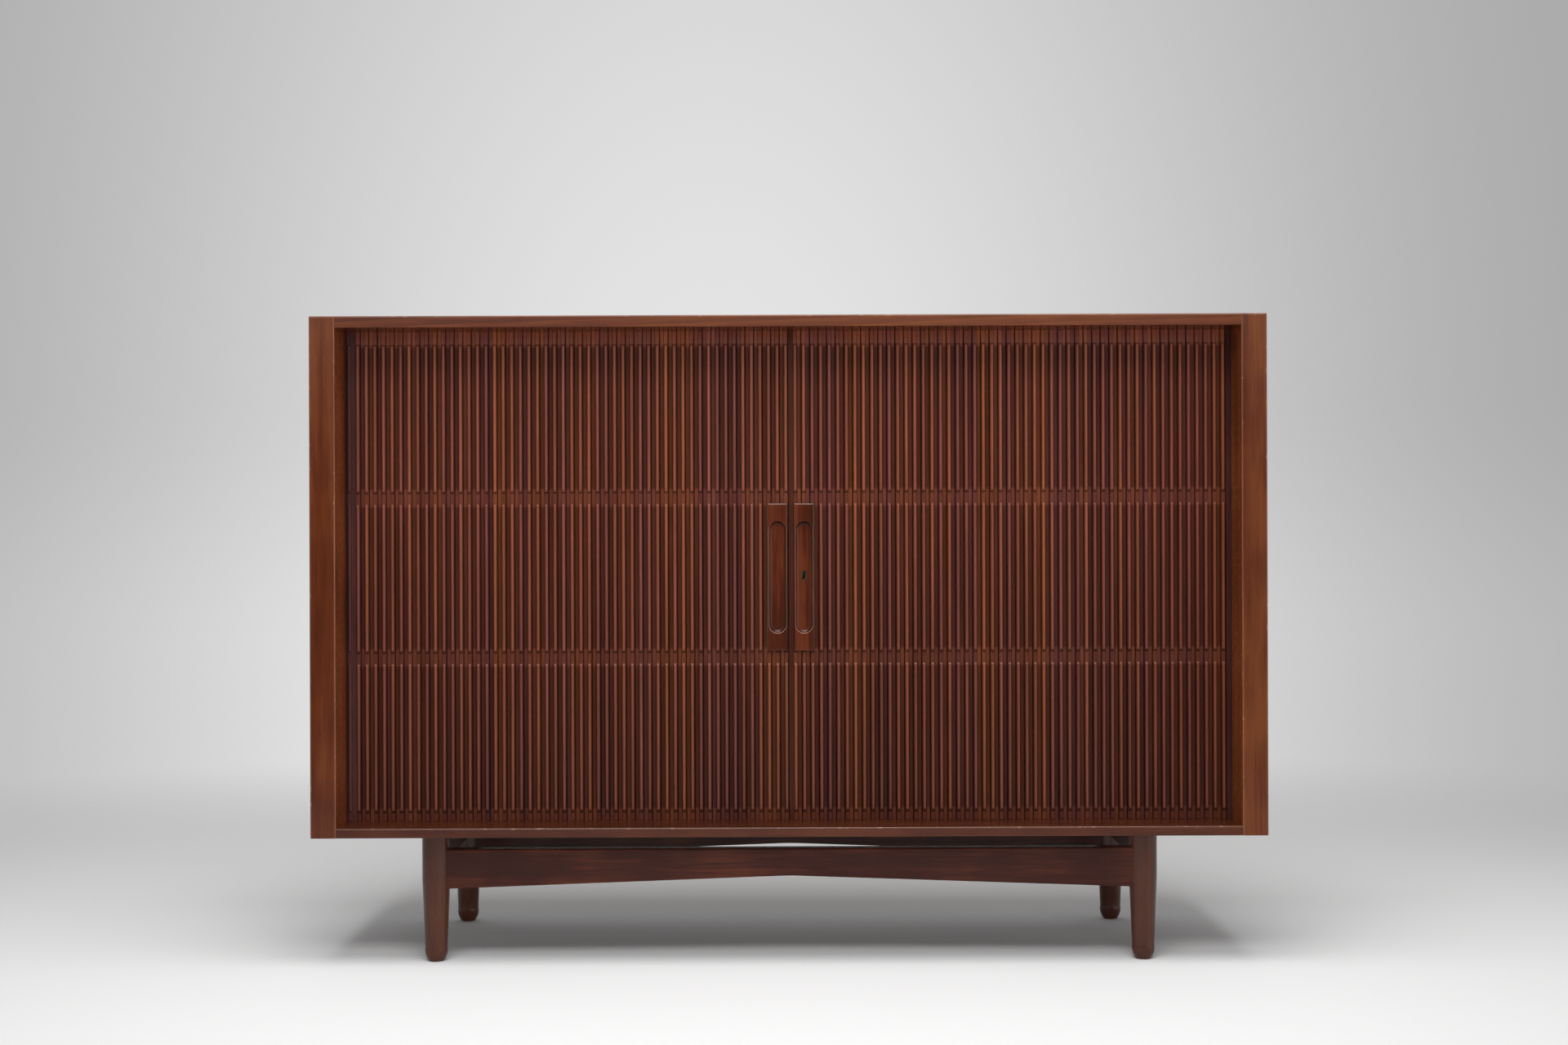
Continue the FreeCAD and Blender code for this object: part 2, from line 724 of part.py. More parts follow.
def lock_case():
    """A thin metal box with two tabs, a post for the claw, and the pin that a hollow key fits over."""
    body = box(LOCK_START, LOCK_END, LEAD_BACK, LOCK_REAR, LOCK_LOW, LOCK_HIGH)
    plate = box(
        LOCK_START, LOCK_END, LEAD_BACK, LEAD_BACK + LOCK_WALL, LOCK_LOW - LOCK_TAB, LOCK_HIGH + LOCK_TAB
    )
    hollow = box(
        LOCK_START + LOCK_WALL,
        LOCK_END - LOCK_WALL,
        LEAD_BACK + LOCK_WALL,
        LOCK_REAR - LOCK_WALL,
        LOCK_LOW + LOCK_WALL,
        LOCK_HIGH - LOCK_WALL,
    )
    mouth = box(
        LOCK_START,
        LOCK_START + LOCK_WALL,
        CLAW_Y - CLAW_THICK / 2 - CLAW_PLAY,
        CLAW_Y + CLAW_THICK / 2 + CLAW_PLAY,
        CLAW_Z - CLAW_HUB - CLAW_PLAY,
        CLAW_Z + CLAW_OUTER + CLAW_PLAY,
    )
    way_in = keyhole(KEYHOLE_RADIUS, KEYHOLE_SLOT, KEYHOLE_DROP, LEAD_BACK, LEAD_BACK + LOCK_WALL)
    shell = fuse([body, plate]).cut([hollow, mouth, way_in] + lock_screw_holes())
    pivot_start = FreeCAD.Vector(CLAW_X, LEAD_BACK + LOCK_WALL / 2, CLAW_Z)
    pivot = Part.makeCylinder(CLAW_PIN, LOCK_DEPTH - LOCK_WALL, pivot_start, REARWARD)
    pin_front = SCOOP_FLOOR + DRILL_PIN_SHORT
    pin_start = FreeCAD.Vector(HANDLE_MIDDLE_RIGHT, pin_front, KEYHOLE_LEVEL)
    pin = Part.makeCylinder(DRILL_PIN_RADIUS, LOCK_REAR - LOCK_WALL / 2 - pin_front, pin_start, REARWARD)
    return fuse([shell, pivot, pin])


def lock_claw():
    """A curved claw that swings about its own centre, drawn back inside the lock."""
    y_low = CLAW_Y - CLAW_THICK / 2
    y_high = CLAW_Y + CLAW_THICK / 2
    start = FreeCAD.Vector(CLAW_X, y_low, CLAW_Z)
    ring = Part.makeCylinder(CLAW_OUTER, CLAW_THICK, start, REARWARD, CLAW_SPAN)
    ring = ring.cut(Part.makeCylinder(CLAW_INNER, CLAW_THICK, start, REARWARD))
    ring_start = min(angle_of(vertex) for vertex in ring.Vertexes)
    ring.rotate(start, REARWARD * -1, CLAW_START - ring_start)
    hub = Part.makeCylinder(CLAW_HUB, CLAW_THICK, start, REARWARD)
    arm_half = CLAW_HUB / 2
    middle_of_ring = (CLAW_INNER + CLAW_OUTER) / 2
    arm = box(CLAW_X, CLAW_X + middle_of_ring, y_low, y_high, CLAW_Z - arm_half, CLAW_Z + arm_half)
    eye = Part.makeCylinder(CLAW_PIN + FIT, CLAW_THICK, start, REARWARD)
    return fuse([ring, hub, arm]).cut(eye)


def angle_of(vertex):
    """Direction of a point of the claw from its pivot, in degrees up from +X."""
    return math.degrees(math.atan2(vertex.Z - CLAW_Z, vertex.X - CLAW_X))


def keeper_spikes(radius):
    """Two spikes that hold the keeper on the back of the left stile, drawn on the right-hand side."""
    x = LEAD_START + KEEPER_SETBACK + KEEPER_SPIKE_IN
    length = KEEPER_PLATE / 2 + LEAD_EXTRA - KEEPER_SPIKE_WEB
    return [
        Part.makeCylinder(radius, length, FreeCAD.Vector(x, LEAD_BACK + KEEPER_PLATE / 2, z), REARWARD * -1)
        for z in (CLAW_Z, CLAW_Z + CLAW_OUTER)
    ]


def keeper():
    """A bent plate with a window that the claw swings through, drawn on the right-hand side."""
    x = LEAD_START + KEEPER_SETBACK
    low = CLAW_Z - KEEPER_BELOW
    high = CLAW_Z + KEEPER_ABOVE
    plate = box(x, x + KEEPER_WIDTH, LEAD_BACK, LEAD_BACK + KEEPER_PLATE, low, high)
    wall = box(x, x + KEEPER_WALL, LEAD_BACK, LOCK_REAR, low, high)
    reach_near = CLAW_X + x
    reach_far = reach_near + KEEPER_WALL
    window_low = math.sqrt(max(0.0, CLAW_INNER**2 - reach_far**2)) - CLAW_PLAY
    window_high = math.sqrt(CLAW_OUTER**2 - reach_near**2) + CLAW_PLAY
    window = box(
        x,
        x + KEEPER_WALL,
        CLAW_Y - CLAW_THICK / 2 - CLAW_PLAY,
        CLAW_Y + CLAW_THICK / 2 + CLAW_PLAY,
        CLAW_Z + window_low,
        CLAW_Z + window_high,
    )
    return fuse([plate, wall] + keeper_spikes(KEEPER_SPIKE)).cut(window)


# Base


def turned_leg():
    """A straight round top, a slight taper and a soft foot, turned about Z at the origin."""
    top = FreeCAD.Vector(0, 0, LEG_HEIGHT)
    top_edge = FreeCAD.Vector(LEG_RADIUS, 0, LEG_HEIGHT)
    taper_edge = FreeCAD.Vector(LEG_RADIUS, 0, LEG_STRAIGHT_FROM)
    foot_edge = FreeCAD.Vector(FOOT_RADIUS, 0, FOOT_HEIGHT)
    bulge_out = FOOT_FLAT + FOOT_BULGE_OUT_SHARE * (FOOT_RADIUS - FOOT_FLAT)
    bulge = FreeCAD.Vector(bulge_out, 0, FOOT_BULGE_UP_SHARE * FOOT_HEIGHT)
    flat_edge = FreeCAD.Vector(FOOT_FLAT, 0, 0)
    outline = Part.Wire(
        [
            Part.makeLine(ORIGIN, top),
            Part.makeLine(top, top_edge),
            Part.makeLine(top_edge, taper_edge),
            Part.makeLine(taper_edge, foot_edge),
            Part.Arc(foot_edge, bulge, flat_edge).toShape(),
            Part.makeLine(flat_edge, ORIGIN),
        ]
    )
    return Part.Face(outline).revolve(ORIGIN, UP, 360)


def leg_at(x, y):
    leg = turned_leg()
    leg.translate(FreeCAD.Vector(x, y, 0))
    return leg


def rail_tenon(play):
    """Tenon of the front rail in the front right leg."""
    start = LEG_X - LEG_RADIUS - TENON_LENGTH
    end = LEG_X - LEG_RADIUS + TENON_LENGTH + play
    half = TENON_THICK / 2
    low = RAIL_TOP - RAIL_END_HEIGHT + TENON_SHOULDER
    return box(start, end, -LEG_Y - half, -LEG_Y + half, low, RAIL_TOP - TENON_SHOULDER)


def bearer_tenon(play):
    """Tenon of the right bearer in the front right leg."""
    start = -LEG_Y + LEG_RADIUS - TENON_LENGTH - play
    end = -LEG_Y + LEG_RADIUS + TENON_LENGTH
    half = TENON_THICK / 2
    low = BEARER_LOW + TENON_SHOULDER
    return box(LEG_X - half, LEG_X + half, start, end, low, LEG_HEIGHT - TENON_SHOULDER)


def behind(shape):
    """The same piece at the rear of the base."""
    return shape.mirror(ORIGIN, REARWARD)


def front_right_leg():
    return leg_at(LEG_X, -LEG_Y).cut([rail_tenon(TENON_END_PLAY), bearer_tenon(TENON_END_PLAY)])


def front_rail():
    """A rail whose lower edge rises from both ends to a soft point in the middle."""
    front = -LEG_Y - RAIL_THICK / 2
    low = RAIL_TOP - RAIL_END_HEIGHT
    peak = RAIL_TOP - RAIL_MID_HEIGHT
    slope = math.atan2(peak - low, LEG_X)
    run = RAIL_PEAK_ROUND * math.sin(slope)
    shoulder = peak - RAIL_PEAK_ROUND * math.tan(slope) * math.sin(slope)
    crest = peak - RAIL_PEAK_ROUND * (1 / math.cos(slope) - 1)

    def point(x, z):
        return FreeCAD.Vector(x, front, z)

    outline = Part.Wire(
        [
            Part.makeLine(point(-LEG_X, RAIL_TOP), point(LEG_X, RAIL_TOP)),
            Part.makeLine(point(LEG_X, RAIL_TOP), point(LEG_X, low)),
            Part.makeLine(point(LEG_X, low), point(run, shoulder)),
            Part.Arc(point(run, shoulder), point(0, crest), point(-run, shoulder)).toShape(),
            Part.makeLine(point(-run, shoulder), point(-LEG_X, low)),
            Part.makeLine(point(-LEG_X, low), point(-LEG_X, RAIL_TOP)),
        ]
    )
    rail = Part.Face(outline).extrude(REARWARD * RAIL_THICK)
    rail = rounded(rail, RAIL_ROUND, lambda c: near(c.z, RAIL_TOP) and near(c.x, 0))
    rail = rail.cut([leg_at(LEG_X, -LEG_Y), leg_at(-LEG_X, -LEG_Y)])
    tenon = rail_tenon(0)
    return fuse([rail, tenon, mirrored(tenon)])


def screw_places():
    places = []
    for x in (-LEG_X, LEG_X):
        for y in (-SCREW_SPACING / 2, SCREW_SPACING / 2):
            places.append((x, y))
    return places


def bearer():
    """A side rail under the case, with sunk holes for the screws that hold the case."""
    half = BEARER_THICK / 2
    bar = box(LEG_X - half, LEG_X + half, -LEG_Y, LEG_Y, BEARER_LOW, LEG_HEIGHT)
    bar = bar.cut([leg_at(LEG_X, -LEG_Y), leg_at(LEG_X, LEG_Y)])
    tenon = bearer_tenon(0)
    bar = fuse([bar, tenon, behind(tenon)])
    holes = []
    for x, y in screw_places():
        if x > 0:
            seat = FreeCAD.Vector(x, y, BEARER_LOW)
            holes.append(Part.makeCylinder(SCREW_HEAD_RADIUS + FIT, SCREW_SINK, seat, UP))
            holes.append(Part.makeCylinder(SCREW_RADIUS + FIT, BEARER_HEIGHT, seat, UP))
    return bar.cut(holes)


def base_screws():
    screws = []
    for x, y in screw_places():
        seat = FreeCAD.Vector(x, y, BEARER_LOW + SCREW_SINK)
        shank_length = BEARER_HEIGHT - SCREW_SINK + SCREW_BITE
        shank = Part.makeCylinder(SCREW_RADIUS, shank_length, seat, UP)
        head = Part.makeCylinder(SCREW_HEAD_RADIUS, SCREW_HEAD_HEIGHT, seat, UP * -1)
        screws.append(fuse([shank, head]))
    return screws


# Write every piece

os.makedirs("parts", exist_ok=True)

save(top_panel(), "top_panel")
save(bottom_panel(), "bottom_panel")
save(back_panel(), "back_panel")
save(false_back(), "false_back")
save(partition(), "partition")
save(shelf_pins(), "shelf_pins")
save_pair(post(), "post")
save_pair(side_panel(), "side")
save_pair(liner(), "liner")
save_pair(shelf(), "shelf")

lath = slat(0)
for group in range(GROUPS):
    number = "%02d" % (group + 1)
    save(slat_group(True, group, lath), "right_slats_" + number)
    save([mirrored(solid) for solid in slat_group(False, group, lath)], "left_slats_" + number)
save(tail_slats(True, lath) + [mirrored(solid) for solid in tail_slats(False, lath)], "tail_slats")
save(tail_canvas(True) + [mirrored(solid) for solid in tail_canvas(False)], "tail_canvas")

save(stile(True), "right_stile")
save(mirrored(stile(False)), "left_stile")
save(lead_slats(True), "right_lead_slats")
save([mirrored(solid) for solid in lead_slats(False)], "left_lead_slats")
save(handle(True), "right_handle")
save(mirrored(handle(False)), "left_handle")
save(keyhole_liner(), "keyhole_liner")
save(lock_case(), "lock_case")
save(lock_claw(), "lock_claw")
save(lock_screws(), "lock_screws")
save(mirrored(keeper()), "keeper")

leg = front_right_leg()
save(leg, "front_right_leg")
save(mirrored(leg), "front_left_leg")
save(behind(leg), "rear_right_leg")
save(behind(mirrored(leg)), "rear_left_leg")
rail = front_rail()
save(rail, "front_rail")
save(behind(rail), "rear_rail")
save_pair(bearer(), "bearer")
save(base_screws(), "base_screws")
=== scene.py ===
# %% [markdown]
# # A cabinet with two tambour doors
# The real object is a low wooden cabinet whose doors are curtains of narrow beaded laths. Its solids
# arrive here as a fixed frame: one mesh for each piece, at true size, in metres, with the front towards
# -Y. This lesson leaves every piece where the frame has it, gives it a finish, and rebuilds the pieces
# whose surface deserves a finer mesh.

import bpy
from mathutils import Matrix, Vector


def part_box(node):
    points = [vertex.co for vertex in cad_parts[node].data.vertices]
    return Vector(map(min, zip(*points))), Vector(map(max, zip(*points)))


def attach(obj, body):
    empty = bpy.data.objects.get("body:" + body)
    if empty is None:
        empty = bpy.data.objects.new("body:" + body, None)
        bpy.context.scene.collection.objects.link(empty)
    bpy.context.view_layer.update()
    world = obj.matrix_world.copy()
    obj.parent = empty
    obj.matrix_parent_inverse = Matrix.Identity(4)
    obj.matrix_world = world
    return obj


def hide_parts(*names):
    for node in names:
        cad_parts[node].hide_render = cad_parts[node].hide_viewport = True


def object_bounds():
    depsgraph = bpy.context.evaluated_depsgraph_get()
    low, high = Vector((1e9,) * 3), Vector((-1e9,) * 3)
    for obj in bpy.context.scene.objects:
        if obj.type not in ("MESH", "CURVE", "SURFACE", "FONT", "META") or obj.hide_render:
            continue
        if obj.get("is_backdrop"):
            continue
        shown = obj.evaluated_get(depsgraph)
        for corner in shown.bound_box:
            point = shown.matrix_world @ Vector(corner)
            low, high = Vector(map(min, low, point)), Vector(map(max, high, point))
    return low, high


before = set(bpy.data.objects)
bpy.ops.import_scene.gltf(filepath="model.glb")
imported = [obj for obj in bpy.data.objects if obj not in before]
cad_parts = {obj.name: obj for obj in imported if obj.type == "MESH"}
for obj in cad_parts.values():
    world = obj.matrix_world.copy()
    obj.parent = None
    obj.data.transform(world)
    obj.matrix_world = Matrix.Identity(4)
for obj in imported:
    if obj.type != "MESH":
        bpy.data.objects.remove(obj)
cad_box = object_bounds()

# %% Libraries
import math

import bpy
import numpy as np

# %% [markdown]
# ## Small tools for meshes
# Every rebuilt piece is a closed shell: rows of points, each row a closed loop, stacked along a path. The
# faces between two rows are found by counting, so no loop visits single points. A shell whose volume comes
# out negative is inside out, so its faces are turned round. That one test also takes care of pieces that
# are mirrored to the other side.


# %% Shells
SHARP_ANGLE = 35.0


def box_of(node):
    """Lowest and highest corner of a piece of the frame, as arrays."""
    low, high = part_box(node)
    return np.array(low), np.array(high)


def shell(rows):
    """A closed tube with flat ends. rows has the shape (rows, points in a loop, 3)."""
    count, loop = rows.shape[:2]
    start = np.arange(count - 1)[:, None] * loop
    here = np.arange(loop)[None, :]
    after = (here + 1) % loop
    quads = np.stack([start + here, start + after, start + loop + after, start + loop + here], axis=-1)
    ends = [np.arange(loop)[::-1], (count - 1) * loop + np.arange(loop)]
    points = rows.reshape(-1, 3)
    faces = quads.reshape(-1, 4)
    a, b, c, d = (points[faces[:, corner]] for corner in range(4))
    volume = np.einsum("ij,ij->i", a, np.cross(b, c)).sum() + np.einsum("ij,ij->i", a, np.cross(c, d)).sum()
    for end in ends:
        fan = points[end]
        volume += np.einsum("j,ij->i", fan[0], np.cross(fan[1:-1], fan[2:])).sum()
    if volume < 0:
        faces = faces[:, ::-1]
        ends = [end[::-1] for end in ends]
    return points, faces.tolist() + [end.tolist() for end in ends]


def joined(shells):
    """Several shells as one list of points and one of faces."""
    points = []
    faces = []
    count = 0
    for shell_points, shell_faces in shells:
        points.append(shell_points)
        faces += [[corner + count for corner in face] for face in shell_faces]
        count += len(shell_points)
    return np.concatenate(points), faces


def piece(name, points, faces, body, material, stands_for=()):
    """A mesh object at the origin that rides on a body, smooth but for its sharp edges."""
    mesh = bpy.data.meshes.new(name)
    mesh.from_pydata(points.tolist(), [], faces)
    mesh.polygons.foreach_set("use_smooth", np.ones(len(mesh.polygons), dtype=bool))
    mesh.set_sharp_from_angle(angle=math.radians(SHARP_ANGLE))
    mesh.materials.append(material)
    made = bpy.data.objects.new(name, mesh)
    bpy.context.scene.collection.objects.link(made)
    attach(made, body)
    if stands_for:
        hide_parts(*stands_for)
    return made


def mark(made, name, values):
    """Stores one number on each point of a piece, for its finish to read."""
    attribute = made.data.attributes.new(name, "FLOAT", "POINT")
    attribute.data.foreach_set("value", values.astype(np.float32))


print("mesh tools ready")

# %% [markdown]
# ## Small tools for finishes
# A finish is a tree of shader nodes. The first helper below adds one node, sets its options, and takes its
# inputs as a dictionary, where another node's socket is wired and a plain value is set. Short helpers on
# top of it name the steps that come back in every finish: noise, a colour ramp, a mix, a remap, a sum.


# %% Shader helpers
def add(tree, kind, inputs=None, **options):
    made = tree.nodes.new(kind)
    for option, value in options.items():
        setattr(made, option, value)
    for key, value in (inputs or {}).items():
        if isinstance(value, bpy.types.NodeSocket):
            tree.links.new(value, made.inputs[key])
        else:
            made.inputs[key].default_value = value
    return made


def calc(tree, operation, a, b=0.0):
    return add(tree, "ShaderNodeMath", {0: a, 1: b}, operation=operation).outputs[0]


def blend(tree, *parts):
    """The sum of several values, each times its share."""
    total, *others = [calc(tree, "MULTIPLY", value, share) for value, share in parts]
    for other in others:
        total = calc(tree, "ADD", total, other)
    return total


def remap(tree, value, low, high, to_low=0.0, to_high=1.0):
    """A soft step: to_low where the value is at low, and to_high where it is at high."""
    inputs = {"Value": value, "From Min": low, "From Max": high, "To Min": to_low, "To Max": to_high}
    return add(tree, "ShaderNodeMapRange", inputs, interpolation_type="SMOOTHSTEP").outputs[0]


def ramp(tree, value, stops):
    """A colour picked by a value from places and colours. New stops start halfway and are then placed."""
    made = add(tree, "ShaderNodeValToRGB", {"Fac": value})
    elements = made.color_ramp.elements
    while len(elements) < len(stops):
        elements.new(0.5)
    for element, (position, colour) in zip(elements, stops):
        element.position = position
        element.color = (*colour, 1.0)
    return made.outputs["Color"]


def mix(tree, factor, a, b):
    """Two colours mixed. Sockets 6 and 7 are the node's colour inputs, and output 2 is its colour."""
    return add(tree, "ShaderNodeMix", {0: factor, 6: a, 7: b}, data_type="RGBA").outputs[2]


def scaled(tree, colour, factor):
    """A colour made lighter or darker."""
    return add(tree, "ShaderNodeVectorMath", {0: colour, "Scale": factor}, operation="SCALE").outputs[0]


def own_place(tree):
    """The piece's own coordinates, in metres."""
    return add(tree, "ShaderNodeTexCoord").outputs["Object"]


def split(tree, vector):
    return add(tree, "ShaderNodeSeparateXYZ", {"Vector": vector}).outputs


def stretched(tree, scale):
    """The piece's own coordinates, squeezed along one axis so that a pattern stretches along it."""
    return add(tree, "ShaderNodeMapping", {"Vector": own_place(tree), "Scale": scale}).outputs[0]


def noise(tree, vector, scale, detail, shift=0.0, distortion=0.0):
    inputs = {"Vector": vector, "W": shift, "Scale": scale, "Detail": detail, "Distortion": distortion}
    return add(tree, "ShaderNodeTexNoise", inputs, noise_dimensions="4D").outputs["Fac"]


def stored(tree, name):
    """The number that mark() has stored on the piece's points."""
    return add(tree, "ShaderNodeAttribute", attribute_name=name).outputs["Fac"]


def emboss(tree, shader, height, strength, depth):
    """Relief that is seen but does not move the surface."""
    bump = add(tree, "ShaderNodeBump", {"Strength": strength, "Distance": depth, "Height": height})
    tree.links.new(bump.outputs[0], shader.inputs["Normal"])


def finish(name):
    """An empty material with one Principled shader, and its node tree."""
    material = bpy.data.materials.new(name)
    material.use_nodes = True
    tree = material.node_tree
    return material, tree, tree.nodes["Principled BSDF"]


print("shader tools ready")

# %% [markdown]
# ## Oiled wood
# The wood is dark, reddish and oiled, with a satin sheen. Three layers of noise make it, all stretched
# along the grain: a broad figure that wanders between dark and light bands, fine growth lines, and short
# open pores. A slow drift varies the colour over the whole board. On wide boards, rings about the heart of
# the tree take the drift's place and show as long nested arches. An image of veneer would repeat and would
# not wrap round the edges, and layered noise does neither. The same layers feed the colour, the gloss and
# the relief, so that a dark pore is also a little hollow and a little duller.


# %% Wood recipe
ALONG = {"x": (0.05, 1.0, 1.0), "y": (1.0, 0.05, 1.0), "z": (1.0, 1.0, 0.05)}
FIGURE_SCALE = 34.0
FIGURE_WANDER = 0.8
LINE_SCALE = 260.0
PORE_SCALE = 1300.0
PORE_FROM = 0.60
PORE_FULL = 0.72
PORE_COLOUR = (0.012, 0.005, 0.003, 1.0)
PORE_SHADE = 0.45
PORE_DULLNESS = 0.12
NOISE_LOW = 0.3
NOISE_HIGH = 0.7
SMOOTHER = 0.04
ROUGHER = 0.06
LINE_RELIEF = 0.5
RELIEF_STRENGTH = 0.25
RELIEF_DEPTH = 0.0001
DRIFT_SCALE = 9.0
FIGURE_SHARE = 0.40
LINE_SHARE = 0.25
DRIFT_SHARE = 0.35
SATIN = 0.21
SHINE = 0.32
DULL_SHINE = 0.15
SHADE_AND_DUST_SHINE = 0.02


def wood_layers(tree, grain, shift=0.0):
    """Figure, growth lines and pores, each from 0 to 1."""
    along = stretched(tree, ALONG[grain])
    figure = noise(tree, along, FIGURE_SCALE, detail=4.0, shift=shift, distortion=FIGURE_WANDER)
    lines = noise(tree, along, LINE_SCALE, detail=2.0, shift=shift)
    pores = remap(tree, noise(tree, along, PORE_SCALE, detail=1.0, shift=shift), PORE_FROM, PORE_FULL)
    return figure, lines, pores


def wood_shader(tree, shader, colour, layers, roughness, shade_and_dust=None, shine=SHINE):
    """Pores darken and dull the wood, the figure varies its gloss, and painted shade and dust take its shine.
    """
    figure, lines, pores = layers
    pored = mix(tree, calc(tree, "MULTIPLY", pores, PORE_SHADE), colour, PORE_COLOUR)
    tree.links.new(pored, shader.inputs["Base Color"])
    varied = remap(tree, figure, NOISE_LOW, NOISE_HIGH, roughness - SMOOTHER, roughness + ROUGHER)
    rough = calc(tree, "ADD", varied, calc(tree, "MULTIPLY", pores, PORE_DULLNESS))
    tree.links.new(rough, shader.inputs["Roughness"])
    relief = calc(tree, "SUBTRACT", calc(tree, "MULTIPLY", lines, LINE_RELIEF), pores)
    emboss(tree, shader, relief, RELIEF_STRENGTH, RELIEF_DEPTH)
    if shade_and_dust is None:
        shader.inputs["Specular IOR Level"].default_value = shine
    else:
        tree.links.new(remap(tree, shade_and_dust, 0.0, 1.0, shine, SHADE_AND_DUST_SHINE), shader.inputs["Specular IOR Level"])


def streaks(tree, layers, stops, drift=None):
    """A colour ramp read by the figure, with growth lines and a drift over the whole board mixed in."""
    figure, lines, _ = layers
    if drift is None:
        drift = noise(tree, own_place(tree), DRIFT_SCALE, detail=2.0)
    return ramp(tree, blend(tree, (figure, FIGURE_SHARE), (lines, LINE_SHARE), (drift, DRIFT_SHARE)), stops)


def oiled_wood(name, grain, stops, roughness=SATIN, shine=SHINE):
    material, tree, shader = finish(name)
    layers = wood_layers(tree, grain)
    wood_shader(tree, shader, streaks(tree, layers, stops), layers, roughness, shine=shine)
    return material


# %% Growth rings
RING_SQUEEZE = {"x": (0.2, 1.0, 1.0), "z": (1.0, 1.0, 0.2)}
RING_LEAN = 0.2
RING_WANDER = 9.0
RING_DETAIL = 3.0
WANDER_SCALE = 0.12
RING_DARK = 0.36
RING_PALE = 0.62
WAVE_LENGTH = 0.314


def growth_rings(tree, grain, heart, step):
    """Rings about a leaning line, the heart of the tree. step is the distance from one ring to the next, and
    WAVE_LENGTH is that of Blender's wave texture at a scale of one."""
    bent = {"Scale": RING_SQUEEZE[grain], "Rotation": (0.0, RING_LEAN, 0.0), "Location": heart}
    leaning = add(tree, "ShaderNodeMapping", {"Vector": own_place(tree), **bent}).outputs[0]
    wander = {"Distortion": RING_WANDER, "Detail": RING_DETAIL, "Detail Scale": WANDER_SCALE}
    options = {"wave_type": "RINGS", "rings_direction": grain.upper(), "wave_profile": "SAW"}
    inputs = {"Vector": leaning, "Scale": WAVE_LENGTH / step, **wander}
    rings = add(tree, "ShaderNodeTexWave", inputs, **options).outputs["Fac"]
    return remap(tree, rings, 0.0, 1.0, RING_DARK, RING_PALE)


print("wood recipe ready")

# %% [markdown]
# ## Worn edges and painted light of the case
# Hands and knocks have rubbed the front edges of the case, where small chips show a paler wood, and a thin
# pale line all along the edges is a painted highlight of their rounded arrises. The wear and the highlight
# are found from the piece's own coordinates: the distance to the nearest front edge, broken up by noise.
# It could be painted by hand, but a distance keeps to the edge from every side and needs no picture. The
# inner faces of the posts are painted a brighter orange, as painted light from the side. They too are known
# by their distance from the middle. The bottom board is painted darker, as painted shade, because less
# light falls on it from above. Top and sides are wide boards, so they show growth rings.


# %% Case wood
half_width = (cad_box[1][0] - cad_box[0][0]) / 2
front = cad_box[0][1]
case_top = cad_box[1][2]
floor_level = box_of("back_panel")[0][2]
post_inner = box_of("right_post")[0][0]
# Pale chips and a painted highlight along the front edges.
CHIP_AND_HIGHLIGHT_COLOUR = (0.25, 0.14, 0.10, 1.0)
CHIP_SCALE = 90.0
CHIP_FROM = 0.58
CHIP_FULL = 0.68
ARRIS_HIGHLIGHT = 0.25
CHIP_MOST = 0.8
WEAR_AND_HIGHLIGHT_FULL = 0.0005
WEAR_AND_HIGHLIGHT_END = 0.0032
INNER_LIGHT_FADE = 0.0005
CASE_STOPS = [(0.38, (0.050, 0.011, 0.004)), (0.48, (0.078, 0.017, 0.005)), (0.60, (0.116, 0.031, 0.008))]
# Painted light: brighter stops for the inner faces of the posts.
LIT_INNER_STOPS = [(0.38, (0.105, 0.023, 0.006)), (0.48, (0.165, 0.038, 0.009)), (0.60, (0.215, 0.058, 0.014))]
# Painted shade: darker stops for the bottom board.
BOTTOM_SHADE_STOPS = [(0.36, (0.034, 0.007, 0.003)), (0.49, (0.054, 0.013, 0.005)), (0.62, (0.080, 0.021, 0.008))]


def edge_distance(tree, edges):
    """Distance to the nearest of several straight edges, each given by two axes and its place on them."""
    parts = split(tree, own_place(tree))
    sides = {"x": calc(tree, "ABSOLUTE", parts["X"]), "y": parts["Y"], "z": parts["Z"]}
    nearest = 1.0
    for first, first_at, second, second_at in edges:
        across = calc(tree, "POWER", calc(tree, "SUBTRACT", sides[first], first_at), 2.0)
        up = calc(tree, "POWER", calc(tree, "SUBTRACT", sides[second], second_at), 2.0)
        nearest = calc(tree, "MINIMUM", nearest, calc(tree, "SQRT", calc(tree, "ADD", across, up)))
    return nearest


def worn_wood(name, grain, stops, edges, lit_inner_stops=None, rings=None):
    """Oiled wood, chipped and with a painted highlight at its edges; second stops paint light on inner faces.
    """
    material, tree, shader = finish(name)
    layers = wood_layers(tree, grain)
    drift = growth_rings(tree, grain, *rings) if rings else None
    colour = streaks(tree, layers, stops, drift)
    if lit_inner_stops:
        # Painted light on the inner faces of the posts.
        from_middle = calc(tree, "ABSOLUTE", split(tree, own_place(tree))["X"])
        inner_light = remap(tree, from_middle, post_inner + INNER_LIGHT_FADE, post_inner + 2 * INNER_LIGHT_FADE, 1.0, 0.0)
        colour = mix(tree, inner_light, colour, streaks(tree, layers, lit_inner_stops))
    # Real chips, and a painted highlight as a thin pale line all along the edges.
    specks = noise(tree, own_place(tree), CHIP_SCALE, detail=3.0)
    chips_and_highlight = remap(tree, specks, CHIP_FROM, CHIP_FULL, ARRIS_HIGHLIGHT, CHIP_MOST)
    near_edge = remap(tree, edge_distance(tree, edges), WEAR_AND_HIGHLIGHT_FULL, WEAR_AND_HIGHLIGHT_END, 1.0, 0.0)
    highlighted = mix(tree, calc(tree, "MULTIPLY", chips_and_highlight, near_edge), colour, CHIP_AND_HIGHLIGHT_COLOUR)
    wood_shader(tree, shader, highlighted, layers, SATIN)
    return material


def dress(material, *nodes):
    """Gives pieces of the frame a finish and leaves their shape alone."""
    for node in nodes:
        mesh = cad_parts[node].data
        mesh.materials.clear()
        mesh.materials.append(material)


